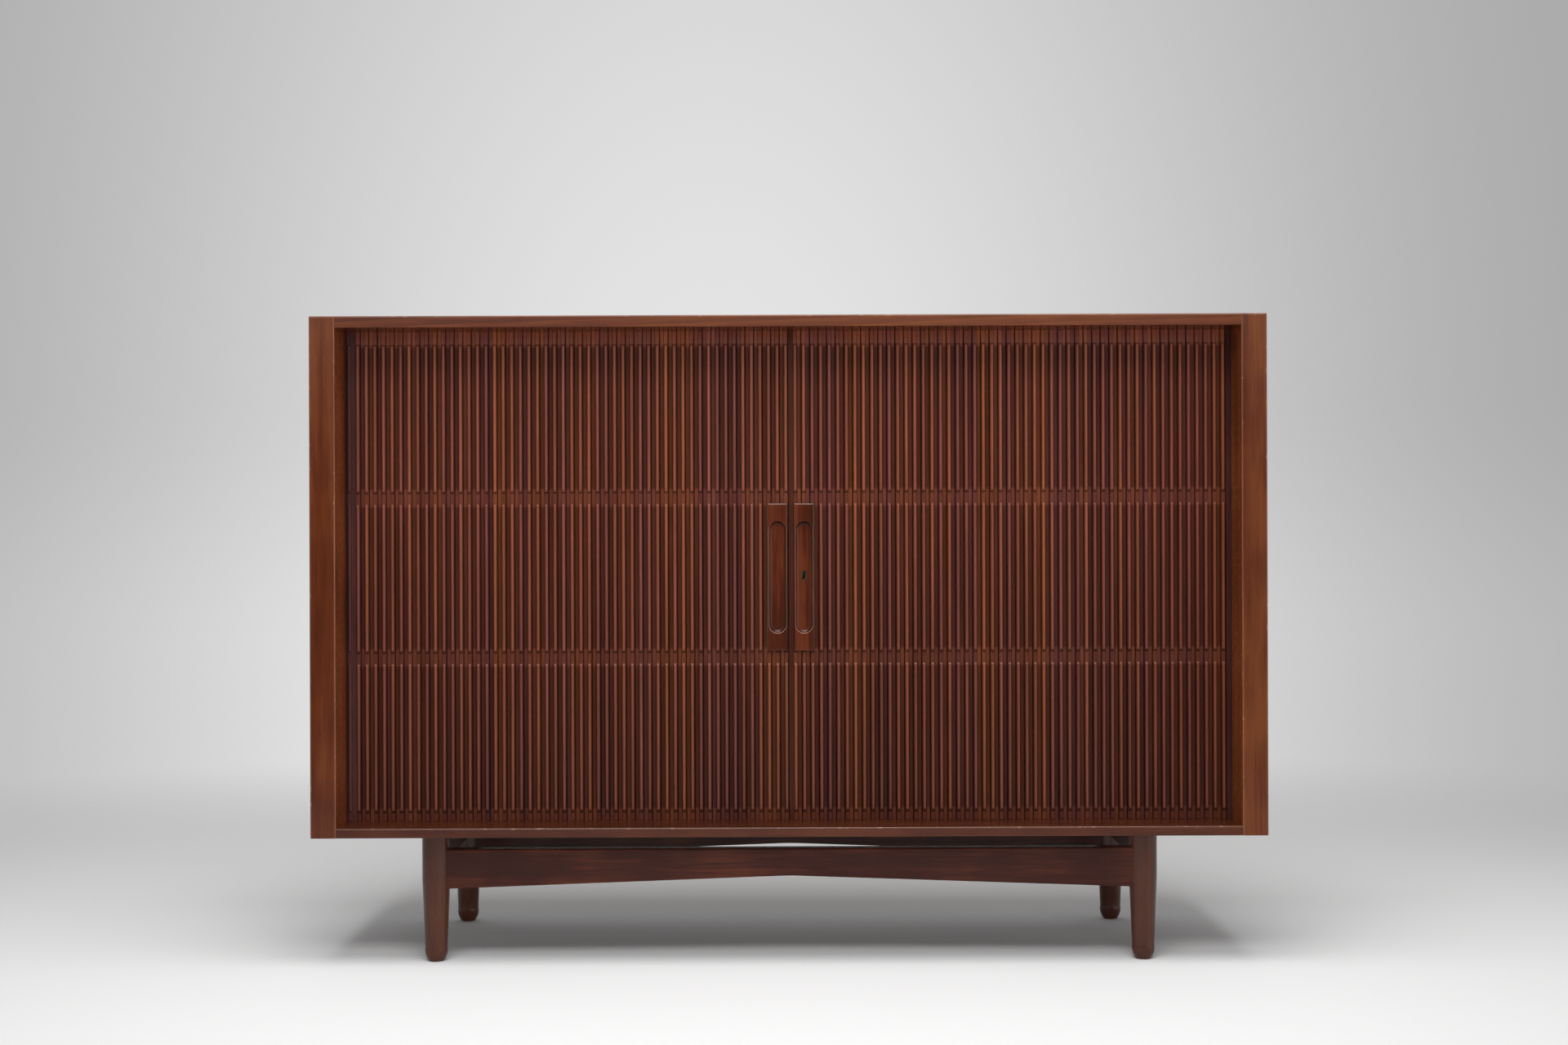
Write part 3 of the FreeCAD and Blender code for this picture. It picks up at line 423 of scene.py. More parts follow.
# %% Dress the case
HEART_BELOW = 0.25
HEART_ASIDE = 0.03
TOP_RINGS = 0.009
SIDE_HEART_ASIDE = 0.02
SIDE_RINGS = 0.004
post_edges = [("x", half_width, "y", front), ("x", post_inner, "y", front), ("y", front, "z", case_top)]
board_edges = [("y", front, "z", case_top), ("y", front, "z", floor_level)]
top_rings = ((0.0, HEART_ASIDE, HEART_BELOW - case_top), TOP_RINGS)
side_rings = ((0.0, SIDE_HEART_ASIDE, 0.0), SIDE_RINGS)
post_wood = worn_wood("case wood upright", "z", CASE_STOPS, post_edges, lit_inner_stops=LIT_INNER_STOPS)
side_wood = worn_wood("side wood", "z", CASE_STOPS, post_edges, rings=side_rings)
board_wood = worn_wood("case wood lying", "x", CASE_STOPS, board_edges, rings=top_rings)
bottom_shade_wood = worn_wood("bottom wood in shade", "x", BOTTOM_SHADE_STOPS, board_edges)
dress(post_wood, "left_post", "right_post")
dress(side_wood, "left_side", "right_side")
dress(board_wood, "top_panel")
dress(bottom_shade_wood, "bottom_panel")
print("case dressed, front at", round(front, 4), "top at", round(case_top, 4))

# %% [markdown]
# ## The laths of the doors
# Each door is a curtain of laths glued side by side on canvas. A lath is a flat strip with a raised band
# along its outer edge, and on that band stand three long beads. A cutter run across the whole curtain has
# parted the beads and left a slope at each end. Swept curves could make the beads, but a height over the
# lath's face says it all: flat by the joint, a small groove or quirk, a low step at the band, and on it
# the lower of two heights, the bead's half ellipse and the cutter's slope.


# %% Lath sizes
BEAD_RADIUS = 0.003
BEAD_RISE = 0.005
BAND_RISE = 0.0016
BAND_CLEAR = 0.001
ARRIS = 0.00025
STEP = 0.00002
QUIRK_WIDTH = 0.0020
QUIRK_DEPTH = 0.0020
END_SLOPE = 0.0042
SLOPE_ROWS = 8
BEAD_SHARES = np.array([-1, -0.92, -0.75, -0.5, -0.25, 0, 0.25, 0.5, 0.75, 0.92, 1])
ROW_SPACING = 0.019
# Painted shadow just below each bead, and painted shade that fades into each valley.
SHADOW_BELOW_BEAD = 0.0028
VALLEY_SHADE_FADE = 0.0060
LATHS_IN_GROUP = 4
LATH_GAP = 0.0003
group_low, group_high = box_of("right_slats_02")
lath_pitch = (group_high[0] - group_low[0] + LATH_GAP) / LATHS_IN_GROUP
lath_width = lath_pitch - LATH_GAP
flange_width = lath_width - 2 * BEAD_RADIUS
lath_foot, lath_head = group_low[2], group_high[2]
valley = group_low[1] + BEAD_RISE
lath_back = box_of("left_lead_slats")[1][1]
ceiling_level = box_of("back_panel")[1][2]
band_low, band_high = floor_level + BAND_CLEAR, ceiling_level - BAND_CLEAR
handle_low, handle_high = box_of("left_handle")[0][2], box_of("left_handle")[1][2]
row_step = handle_high - handle_low + ROW_SPACING
bead_rows = [(handle_low + place * row_step, handle_high + place * row_step) for place in (-1, 0, 1)]
print("lath pitch", round(lath_pitch * 1000, 3), "mm, flange", round(flange_width * 1000, 3), "mm")


# %% Lath surface
def lath_levels(low, high, rows):
    """Heights of the rows of points: both ends, the band's ends, the beads' slopes, the limits of painted
    shade.
    """
    slope = END_SLOPE * np.linspace(0, 1, SLOPE_ROWS)
    levels = [[low, high]]
    for level, outward in ((band_low, -1), (band_high, 1)):
        if low < level < high:
            levels.append([level, level + outward * STEP])
    for row_low, row_high in rows:
        levels.append(row_low + slope)
        levels.append(row_high - slope)
        levels.append([row_low + VALLEY_SHADE_FADE, row_high - VALLEY_SHADE_FADE])
    for row_low, _ in bead_rows:
        levels.append([row_low - SHADOW_BELOW_BEAD, row_low - SHADOW_BELOW_BEAD / 2])
    levels = np.unique(np.concatenate(levels))
    return levels[(levels >= low) & (levels <= high)]


def lath_columns(flange):
    """Distances across a lath, from its inner edge: over the flange, then over the bead from side to side."""
    quirk = flange - np.array([QUIRK_WIDTH, QUIRK_WIDTH / 2, STEP])
    over_flange = np.concatenate([[0, ARRIS, flange / 2], quirk]) if flange > 0 else np.array([])
    return np.concatenate([over_flange, flange + BEAD_RADIUS + BEAD_RADIUS * BEAD_SHARES])


def lath_height(across, levels, flange, rows):
    """Height over the valley: a quirk, a step, and on it the lower of two heights, the bead's half ellipse
    and its end slope. A slope is part of a parabola: u times (2 - u), with u from 0 at the end to 1."""
    offset = np.abs(across - flange - BEAD_RADIUS)[None, :]
    z = levels[:, None]
    on_band = (offset <= BEAD_RADIUS + STEP / 2) & (z >= band_low) & (z <= band_high)
    eased = np.where(offset > BEAD_RADIUS - STEP, BAND_RISE - ARRIS, BAND_RISE)
    section = np.sqrt(np.clip(1 - (offset / BEAD_RADIUS)**2, 0, 1))
    bead = np.zeros(np.broadcast(offset, z).shape)
    for row_low, row_high in rows:
        inward = np.clip(np.minimum(z - row_low, row_high - z) / END_SLOPE, 0, 1)
        bead = np.maximum(bead, np.minimum(section, inward * (2 - inward)))
    edge = np.where(across == 0, ARRIS, 0) * (flange > 0)
    from_quirk = np.abs(across - flange + QUIRK_WIDTH / 2)
    quirk = QUIRK_DEPTH * np.clip(1 - 2 * from_quirk / QUIRK_WIDTH, 0, 1)
    return np.where(on_band, eased + bead * (BEAD_RISE - BAND_RISE), -(edge + quirk)[None, :])


def lath(inner_edge, side, flange, low, high, rows, tilt):
    """One lath as a shell of loops round its section, stacked upwards. A tilt varies how it catches light."""
    across = lath_columns(flange)
    levels = lath_levels(low, high, rows)
    lean = tilt * (across - across.mean())
    depth = valley - lath_height(across, levels, flange, rows) + lean
    loop_x = np.concatenate([across[:1], across, across[-1:]])
    back = np.full((len(levels), 1), lath_back)
    loop_y = np.concatenate([back, depth, back], axis=1)
    loop_z = np.broadcast_to(levels[:, None], loop_y.shape)
    x = side * (inner_edge + np.broadcast_to(loop_x, loop_y.shape))
    return shell(np.stack([x, loop_y, loop_z], axis=-1))


print("one lath has", len(lath_levels(lath_foot, lath_head, bead_rows)), "rows of points")

# %% [markdown]
# ## Wood of the laths
# The laths were cut from many boards, so neighbours differ: some are reddish, some nearly purple, some
# plain brown. A number stored on each lath's points picks its tone from a ramp and also moves its grain,
# so no two are alike. A second number darkens a point: painted shade in the valleys and quirks and on the
# sides of the beads, a painted shadow just below each bead, and a little dust on the flat bands. Only the
# crests keep their full tone. The laths are also painted darker towards the foot and lighter towards the
# top, as painted light.


# %% Lath wood
LATH_TONES = [
    (0.00, (0.115, 0.031, 0.024)),
    (0.30, (0.134, 0.035, 0.019)),
    (0.60, (0.150, 0.040, 0.020)),
    (0.85, (0.170, 0.046, 0.018)),
    (1.00, (0.140, 0.040, 0.028)),
]
TONE_NAME = "lath_tone"
TONE_SHIFT = 40.0
SHADE_AND_DUST_NAME = "lath_shade_and_dust"
# How far painted shade and dust darken a lath.
SHADE_AND_DUST_STRENGTH = 0.85
# Painted light: the laths are painted darker at the foot and lighter at the head.
PAINTED_LIGHT_AT_FOOT = 0.86
PAINTED_LIGHT_AT_HEAD = 1.38
LATH_FIGURE = 0.6
LATH_LINES = 0.4
STREAK_DARK = 0.75
STREAK_PALE = 1.2
LATH_ROUGHNESS = 0.26


def lath_wood(name):
    material, tree, shader = finish(name)
    tone = stored(tree, TONE_NAME)
    shade_and_dust = stored(tree, SHADE_AND_DUST_NAME)
    layers = wood_layers(tree, "z", calc(tree, "MULTIPLY", tone, TONE_SHIFT))
    streak = blend(tree, (layers[0], LATH_FIGURE), (layers[1], LATH_LINES))
    grain_shade = remap(tree, streak, NOISE_LOW, NOISE_HIGH, STREAK_DARK, STREAK_PALE)
    height = split(tree, own_place(tree))["Z"]
    # Painted light: lighter towards the top of the doors, darker towards the foot.
    painted_light_by_height = remap(tree, height, lath_foot, lath_head, PAINTED_LIGHT_AT_FOOT, PAINTED_LIGHT_AT_HEAD)
    lit_grain = calc(tree, "MULTIPLY", grain_shade, painted_light_by_height)
    # Painted shade and dust darken the colour.
    shade = calc(tree, "MULTIPLY", lit_grain, remap(tree, shade_and_dust, 0.0, 1.0, 1.0, 1.0 - SHADE_AND_DUST_STRENGTH))
    colour = scaled(tree, ramp(tree, tone, LATH_TONES), shade)
    wood_shader(tree, shader, colour, layers, LATH_ROUGHNESS, shade_and_dust)
    return material


slat_wood = lath_wood("lath wood")
print("lath tones:", len(LATH_TONES))


# %% Lath dirt
# Painted shade in valleys, quirks and on the sides of beads; dust on the bands.
VALLEY_SHADE = 0.72
FLANK_SHADE = 0.62
BAND_DIRT = 0.52
TOP_DIRT = 0.33
CLEAR_OF_BAND = 1.2


def lath_shade_and_dust(points):
    """Painted shade and dust on one lath, from 0 to 1: thick painted shade in valleys and quirks, a painted
    shadow just below beads, and thinner dust on the bands. On a bead the painted shade grows from the crest."""
    across = np.abs(points[:, 0])
    depth = points[:, 1]
    level = points[:, 2]
    in_valley = depth > valley - BAND_RISE / 2
    in_quirk = (depth > valley + QUIRK_DEPTH / 2) & (depth < lath_back - STEP)
    on_bead = depth < valley - BAND_RISE * CLEAR_OF_BAND
    on_band = np.where(level < bead_rows[-1][1], BAND_DIRT, TOP_DIRT)
    shade_and_dust = np.where(in_quirk, VALLEY_SHADE, on_band)
    for row_low, row_high in bead_rows:
        inside = np.minimum(level - row_low, row_high - level)
        # Painted shade fading into each valley.
        shade_and_dust = np.maximum(shade_and_dust, VALLEY_SHADE * np.clip(inside / VALLEY_SHADE_FADE, 0, 1) * in_valley)
        # Painted shadow just below the bead's lower end.
        below = np.clip(1 - np.abs(level - row_low + SHADOW_BELOW_BEAD / 2) / SHADOW_BELOW_BEAD, 0, 1)
        shade_and_dust = np.maximum(shade_and_dust, below * ~in_valley * ~on_bead)
    # Painted shade on the sides of a bead, growing from the crest.
    from_crest = np.abs(across - across.max() + BEAD_RADIUS) / BEAD_RADIUS
    return np.where(on_bead, FLANK_SHADE * from_crest, shade_and_dust)


# %% Lath groups
GROUPS = 12
SIDES = {"left": -1, "right": 1}
SEED = 52
TILT = 0.012
chance = np.random.default_rng(SEED)


def lath_piece(name, laths, body, stands_for):
    """Laths as one piece of the door, each with its own tone."""
    points, faces = joined(laths)
    made = piece(name, points, faces, body, slat_wood, stands_for)
    tones = np.concatenate([np.full(len(lath_points), chance.random()) for lath_points, _ in laths])
    mark(made, TONE_NAME, tones)
    # Stores each point's painted shade and dust.
    mark(made, SHADE_AND_DUST_NAME, np.concatenate([lath_shade_and_dust(lath_points) for lath_points, _ in laths]))


def group_start(side_name, group):
    """Inner edge of a group of laths, as a distance from the middle. Groups are numbered from one."""
    second = np.abs(np.array([corner[0] for corner in box_of(side_name + "_slats_02")])).min()
    return second + (group - 2) * LATHS_IN_GROUP * lath_pitch


def group_body(side_name, group):
    return side_name + "_door" if group == 1 else side_name + "_curtain_%02d" % group


for side_name, side in SIDES.items():
    for group in range(1, GROUPS + 1):
        starts = group_start(side_name, group) + lath_pitch * np.arange(LATHS_IN_GROUP)
        tilts = TILT * chance.uniform(-1, 1, LATHS_IN_GROUP)
        laths = [
            lath(start, side, flange_width, lath_foot, lath_head, bead_rows, tilt)
            for start, tilt in zip(starts, tilts)
        ]
        node = side_name + "_slats_%02d" % group
        lath_piece(side_name + "_laths_%02d" % group, laths, group_body(side_name, group), [node])
print("laths:", 2 * GROUPS * LATHS_IN_GROUP, "in", 2 * GROUPS, "groups")

# %% [markdown]
# ## The leading laths and the stiles
# The first laths of each door are parted by the handle, and a stiff stile stands behind them. They use the
# same lath surface, with fewer rows of beads. The stile is a plain board, and the last laths stand half
# hidden in the corner beside the post, so for both the frame's own solid stays. The stile gets a darker
# wood with less shine. The last laths get a dark lavender wood with less shine, as painted shade for the
# corner they stand in.


# %% Leading laths
LEAD_LATHS = 3
STILE_STOPS = [(0.36, (0.030, 0.007, 0.004)), (0.49, (0.042, 0.010, 0.005)), (0.62, (0.058, 0.015, 0.007))]
# Painted shade: dark stops for the last laths, in the corner beside the post.
TAIL_SHADE_STOPS = [(0.36, (0.034, 0.012, 0.010)), (0.49, (0.048, 0.016, 0.014)), (0.62, (0.064, 0.021, 0.018))]


def leading_laths(side_name, side):
    """Upper and lower part of the first laths. The very first is only as wide as its bead."""
    corners = np.array([corner[0] for corner in box_of(side_name + "_lead_slats")])
    first = np.abs(corners).min()
    laths = []
    for number in range(LEAD_LATHS):
        flange = flange_width if number > 0 else 0.0
        start = first + number * lath_pitch - flange
        laths.append(lath(start, side, flange, lath_foot, handle_low, bead_rows[:1], tilt=0.0))
        laths.append(lath(start, side, flange, handle_high, lath_head, bead_rows[2:], tilt=0.0))
    return laths


for side_name, side in SIDES.items():
    node = side_name + "_lead_slats"
    lath_piece(side_name + "_lead_laths", leading_laths(side_name, side), side_name + "_door", [node])
stile_wood = oiled_wood("stile wood", "z", STILE_STOPS, roughness=0.30, shine=DULL_SHINE)
tail_shade_wood = oiled_wood("tail wood in shade", "z", TAIL_SHADE_STOPS, roughness=0.34, shine=DULL_SHINE)
dress(stile_wood, "left_stile", "right_stile")
dress(tail_shade_wood, "tail_slats")
print("leading laths:", 2 * LEAD_LATHS, "pairs")

# %% [markdown]
# ## Canvas behind the laths
# What holds the laths together is strong cloth glued to their backs. It is woven plainly, so two sets of
# fine waves at right angles make the threads, in the colour and in the relief. Each strip is a thin closed
# sheet, and the widths of the strips are printed.


# %% Canvas
THREAD_SCALE = 150.0
SOIL_SCALE = 14.0
WEAVE_SHARE = 0.4
SOIL_SHARE = 0.6
CANVAS_STOPS = [(0.2, (0.200, 0.150, 0.090)), (0.7, (0.400, 0.320, 0.210))]
WEAVE_STRENGTH = 0.4
WEAVE_DEPTH = 0.0002
CANVAS_ROUGHNESS = 0.95
CANVAS_SHINE = 0.15
CANVAS_MARGIN = 0.008
STRIP_ROWS = 9


def threads(tree, direction):
    waves = {"Vector": own_place(tree), "Scale": THREAD_SCALE}
    return add(tree, "ShaderNodeTexWave", waves, bands_direction=direction).outputs["Fac"]


def canvas_cloth(name):
    material, tree, shader = finish(name)
    weave = calc(tree, "MULTIPLY", threads(tree, "X"), threads(tree, "Z"))
    soil = noise(tree, own_place(tree), SOIL_SCALE, detail=3.0)
    tint = ramp(tree, blend(tree, (weave, WEAVE_SHARE), (soil, SOIL_SHARE)), CANVAS_STOPS)
    tree.links.new(tint, shader.inputs["Base Color"])
    emboss(tree, shader, weave, WEAVE_STRENGTH, WEAVE_DEPTH)
    shader.inputs["Roughness"].default_value = CANVAS_ROUGHNESS
    shader.inputs["Specular IOR Level"].default_value = CANVAS_SHINE
    return material


canvas = canvas_cloth("canvas")


def sheet_strip(name, x_low, x_high, body):
    """A thin upright strip of cloth as a shell: flat loops from its foot to its head."""
    back = box_of("right_slats_02")[1][1]
    loop = np.array([[x_low, lath_back], [x_high, lath_back], [x_high, back], [x_low, back]])
    levels = np.linspace(floor_level + CANVAS_MARGIN, ceiling_level - CANVAS_MARGIN, STRIP_ROWS)
    flat = np.broadcast_to(loop, (len(levels), 4, 2))
    rise = np.broadcast_to(levels[:, None, None], (len(levels), 4, 1))
    points, faces = shell(np.concatenate([flat, rise], axis=-1))
    made = piece(name, points, faces, body, canvas)
    return x_high - x_low


strip_widths = []
for side_name in SIDES:
    for group in range(1, GROUPS + 1):
        node_low, node_high = box_of(side_name + "_slats_%02d" % group)
        name = side_name + "_canvas_%02d" % group
        laths = side_name + "_laths_%02d" % group
        strip_widths.append(sheet_strip(name, node_low[0], node_high[0], group_body(side_name, group)))
dress(canvas, "tail_canvas")
widths = sorted({round(width * 1000, 1) for width in strip_widths})
print("canvas strips:", len(strip_widths), "of widths", widths, "mm")

# %% [markdown]
# ## The handles
# Each handle is a block with a long hollow for the fingertips, round at both ends and soft at the bottom.
# Seen from the front, every line on it runs parallel to the hollow's outline, so the surface is made of
# rings: from the back edge, over the rounded front edge, across the flat rim, over the rim's soft edge,
# down the wall and over the floor to the middle line. The rings of the block are rectangles and the rings
# of the hollow are stadium shapes, and both are found along the same rays. Each ring also says how much
# painted shade and how much painted highlight it takes. Painted shade darkens the corner of the hollow,
# most of all at its top, and the turn of the block's edge towards its back. A painted highlight lightens
# the edges, most of all on top of the block and at the foot of the hollow.


# %% Handle wood
# Painted shade in the hollow and on the turn of the block's edge.
HANDLE_SHADE_STRENGTH = 0.85
PAINTED_SHADE_COLOUR = (0.012, 0.004, 0.002, 1.0)
# Painted highlight: a pale colour for the edges of the handle.
HIGHLIGHT_NAME = "handle_highlight"
HIGHLIGHT_COLOUR = (0.34, 0.20, 0.16, 1.0)
HANDLE_STOPS = [(0.40, (0.022, 0.005, 0.002)), (0.50, (0.050, 0.009, 0.003)), (0.58, (0.090, 0.018, 0.005))]


def shade_and_highlight_wood(name, grain, stops, roughness):
    """Oiled wood, darker where its points carry painted shade and paler where they carry a painted highlight.
    """
    material, tree, shader = finish(name)
    layers = wood_layers(tree, grain)
    painted_shade = stored(tree, SHADE_AND_DUST_NAME)
    # Painted shade darkens the wood.
    colour = mix(tree, calc(tree, "MULTIPLY", painted_shade, HANDLE_SHADE_STRENGTH), streaks(tree, layers, stops), PAINTED_SHADE_COLOUR)
    # A painted highlight lightens the edges.
    highlighted = mix(tree, stored(tree, HIGHLIGHT_NAME), colour, HIGHLIGHT_COLOUR)
    wood_shader(tree, shader, highlighted, layers, roughness, painted_shade)
    return material


handle_wood = shade_and_highlight_wood("handle wood", "z", HANDLE_STOPS, roughness=0.16)
print("handle wood:", len(handle_wood.node_tree.nodes), "shader nodes")


# %% Handle surface
HOLLOW_RIM = 0.0026
HOLLOW_END = 0.029
HOLLOW_DEPTH = 0.0065
HOLLOW_FILLET = 0.0058
HOLLOW_FLOOR_PART = 3
SIDE_ROUND = 0.001
END_ROUND = 0.0026
RIM_ROUND = 0.0010
FLAT_STRIP = 0.00015
END_RAYS = 41
ROUND_STEPS = 5
FILLET_STEPS = 8
# Shares of painted shade and painted highlight round the hollow and on the block's edge.
SHADE_AT_SIDES = 0.35
HIGHLIGHT_AT_SIDES = 0.35
EDGE_HIGHLIGHT = 0.35
TINY = 1e-9


def handle_rays(half, end):
    """Directions of the rays, first from the hollow's upper end and then from its lower end. The block's
    corners get rays of their own."""
    corner = np.arctan2(end, half)
    upper = np.unique(np.concatenate([np.linspace(0, np.pi, END_RAYS), [corner, np.pi - corner]]))
    return np.concatenate([upper, upper + np.pi])


def handle_rings(block, radius, thickness):
    """From the back edge to the middle line: each ring's distance along the rays, its depth, its painted
    shade, and the painted highlight of the block's edge and of the rim."""
    turn = np.linspace(0, np.pi / 2, ROUND_STEPS)
    # Painted shade at the back edge and on the turn of the block's edge, fading towards its front.
    rings = [(block(0.0, 0.0), thickness, 1.0, 0.0, 0.0)]
    for angle in turn:
        gone = 1 - np.cos(angle)
        depth = END_ROUND * (1 - np.sin(angle))
        # Painted highlight on the middle of the block's rounded edge.
        highlight = EDGE_HIGHLIGHT * np.sin(2 * angle)
        rings.append((block(SIDE_ROUND * gone, END_ROUND * gone), depth, np.cos(angle)**2, highlight, 0.0))
    rings.append((block(SIDE_ROUND + FLAT_STRIP, END_ROUND + FLAT_STRIP), 0.0, 0.0, 0.0, 0.0))
    rings.append((radius + RIM_ROUND + FLAT_STRIP, 0.0, 0.0, 0.0, 0.0))
    for angle in turn[::-1]:
        distance = radius + RIM_ROUND * (1 - np.cos(angle))
        # Painted highlight on the rim's soft edge.
        rings.append((distance, RIM_ROUND * (1 - np.sin(angle)), 0.0, 0.0, np.sin(2 * angle)))
    for angle in np.linspace(0, np.pi / 2, FILLET_STEPS):
        distance = radius - HOLLOW_FILLET * (1 - np.cos(angle))
        depth = HOLLOW_DEPTH - HOLLOW_FILLET * (1 - np.sin(angle))
        # Painted shade in the corner of the hollow.
        rings.append((distance, depth, np.sqrt(np.cos(angle)), 0.0, 0.0))
    rings.append((radius / HOLLOW_FLOOR_PART, HOLLOW_DEPTH, 0.0, 0.0, 0.0))
    return rings


def handle_marks(rings, angles, upper):
    """Painted shade and highlight of each point: a ring's own, times a share set by the direction of the ray.
    """
    painted_shade, edge_highlight, rim_highlight = np.array([ring[2:] for ring in rings]).T
    upward = upper * np.abs(np.sin(angles))
    downward = np.abs(np.sin(angles)) - upward
    # Painted shade is strongest at the top of the hollow.
    shade_share = SHADE_AT_SIDES + (1 - SHADE_AT_SIDES) * upward
    # Painted highlight at the foot of the hollow and on top of the block.
    rim_share = HIGHLIGHT_AT_SIDES * (1 - upward) + (1 - HIGHLIGHT_AT_SIDES) * downward
    edge_share = HIGHLIGHT_AT_SIDES * (1 - downward) + (1 - HIGHLIGHT_AT_SIDES) * upward
    highlight = np.outer(rim_highlight, rim_share) + np.outer(edge_highlight, edge_share)
    return np.outer(painted_shade, shade_share).ravel(), highlight.ravel()


def handle_rows(low, high):
    """Rows of points of one handle, with painted shade and highlight. A point lies on a ray at its ring's
    distance.
    """
    middle = (low[0] + high[0]) / 2
    half = (high[0] - low[0]) / 2
    radius = half - HOLLOW_RIM
    end = HOLLOW_END + radius
    angles = handle_rays(half, end)
    upper = np.arange(len(angles)) < len(angles) / 2
    centre_z = np.where(upper, high[2] - end, low[2] + end)
    across = np.cos(angles)
    along = np.sin(angles)

    def block(side_inset, end_inset):
        to_side = (half - side_inset) / np.maximum(np.abs(across), TINY)
        return np.minimum(to_side, (end - end_inset) / np.maximum(np.abs(along), TINY))

    rings = handle_rings(block, radius, high[1] - low[1])
    rows = []
    for distance, depth, *_ in rings:
        y = np.full(len(angles), low[1] + depth)
        rows.append(np.stack([middle + across * distance, y, centre_z + along * distance], axis=-1))
    painted_shade, highlight = handle_marks(rings, angles, upper)
    return np.stack(rows), painted_shade, highlight


def handle_piece(side_name):
    node = side_name + "_handle"
    rows, painted_shade, highlight = handle_rows(*box_of(node))
    points, faces = shell(rows)
    made = piece(side_name + "_pull", points, faces, side_name + "_door", handle_wood, [node])
    # Stores the painted shade.
    mark(made, SHADE_AND_DUST_NAME, painted_shade)
    # Stores the painted highlight.
    mark(made, HIGHLIGHT_NAME, highlight)
    return made


left_pull = handle_piece("left")
right_pull = handle_piece("right")
print("handle faces:", len(left_pull.data.polygons))

# %% [markdown]
# ## The keyhole
# The right handle is pierced for a key, and a worn metal liner stands in the hole. The liner is the
# frame's own solid. The hole is cut with a Boolean, whose cutter is a plain keyhole outline that ends
# inside the liner's wall, so that no edge of the cut can be seen. Cutting is simpler here than weaving a
# hole into the handle's rings.


# %% Keyhole cut
LINER_HALF_WALL = 0.00085
SLOT_SHARE = 0.5
ARC_POINTS = 33
FOOT_POINTS = 13
CUTTER_REACH = 0.01


def keyhole_outline(low, high):
    """A circle with a slot below it, read from the liner's box and drawn a little inside it."""
    middle = (low[0] + high[0]) / 2
    radius = (high[0] - low[0]) / 2 - LINER_HALF_WALL
    centre = high[2] - LINER_HALF_WALL - radius
    slot = SLOT_SHARE * radius + LINER_HALF_WALL / 2
    start = np.arcsin(slot / radius)
    arc = np.linspace(start - np.pi / 2, 3 * np.pi / 2 - start, ARC_POINTS)
    bow = np.linspace(np.pi, 2 * np.pi, FOOT_POINTS)
    foot = low[2] + LINER_HALF_WALL + slot
    x = np.concatenate([radius * np.cos(arc), slot * np.cos(bow)])
    z = np.concatenate([centre + radius * np.sin(arc), foot + slot * np.sin(bow)])
    return middle + x, z


def keyhole_cutter():
    """A bar with the keyhole's outline that reaches through the handle."""
    low, high = box_of("keyhole_liner")
    x, z = keyhole_outline(low, high)
    depths = (low[1] - CUTTER_REACH, high[1] + CUTTER_REACH)
    rows = np.stack([np.stack([x, np.full(len(x), depth), z], axis=-1) for depth in depths])
    points, faces = shell(rows)
    mesh = bpy.data.meshes.new("keyhole")
    mesh.from_pydata(points.tolist(), [], faces)
    cutter = bpy.data.objects.new("keyhole", mesh)
    bpy.context.scene.collection.objects.link(cutter)
    return cutter


def cut_keyhole(handle):
    """Cuts the handle's mesh once and for all, and takes the cutter away."""
    cutter = keyhole_cutter()
    hole = handle.modifiers.new("keyhole", "BOOLEAN")
    hole.object = cutter
    hole.operation = "DIFFERENCE"
    bpy.context.view_layer.update()
    ready = handle.evaluated_get(bpy.context.evaluated_depsgraph_get())
    cut = bpy.data.meshes.new_from_object(ready)
    handle.modifiers.remove(hole)
    handle.data = cut
    bpy.data.objects.remove(cutter)
    return len(cut.polygons)


print("handle faces after the cut:", cut_keyhole(right_pull))

# %% [markdown]
# ## Legs and rails
# The legs are turned on a lathe: straight at the top, a slight taper, and a soft foot. A turned shape is a
# profile carried round a circle. The foot is an arc through three points. Rails and bearers keep the
# frame's solids, with the grain along their length. The rails lie in the shadow of the case, so their wood
# is painted darker, as painted shade, and has lost its shine.


# %% Base wood
LEG_STOPS = [(0.36, (0.036, 0.009, 0.004)), (0.49, (0.048, 0.013, 0.006)), (0.62, (0.068, 0.019, 0.008))]
# Painted shade: darker stops for the rails, in the shadow of the case.
RAIL_SHADE_STOPS = [(0.36, (0.024, 0.007, 0.005)), (0.49, (0.036, 0.010, 0.007)), (0.62, (0.076, 0.021, 0.010))]
leg_wood = oiled_wood("leg wood", "z", LEG_STOPS)
rail_shade_wood = oiled_wood("rail wood in shade", "x", RAIL_SHADE_STOPS, shine=DULL_SHINE)
bearer_wood = oiled_wood("bearer wood", "y", LEG_STOPS, roughness=0.40)
dress(rail_shade_wood, "front_rail", "rear_rail")
dress(bearer_wood, "left_bearer", "right_bearer")
print("rails and bearers dressed")


# %% Turned legs
LEG_STRAIGHT_FROM = 0.130
FOOT_RADIUS = 0.0175
FOOT_HEIGHT = 0.022
FOOT_FLAT = 0.0115
FOOT_BULGE = (0.016, 0.00704)
FOOT_ROWS = 14
TAPER_ROWS = 8
LEG_SIDES = 72


def circle_through(a, b, c):
    """Centre of the circle through three points: where the lines that halve a-b and b-c squarely meet."""
    sides = 2 * np.array([b - a, c - b])
    sums = np.array([b @ b - a @ a, c @ c - b @ b])
    return np.linalg.solve(sides, sums)


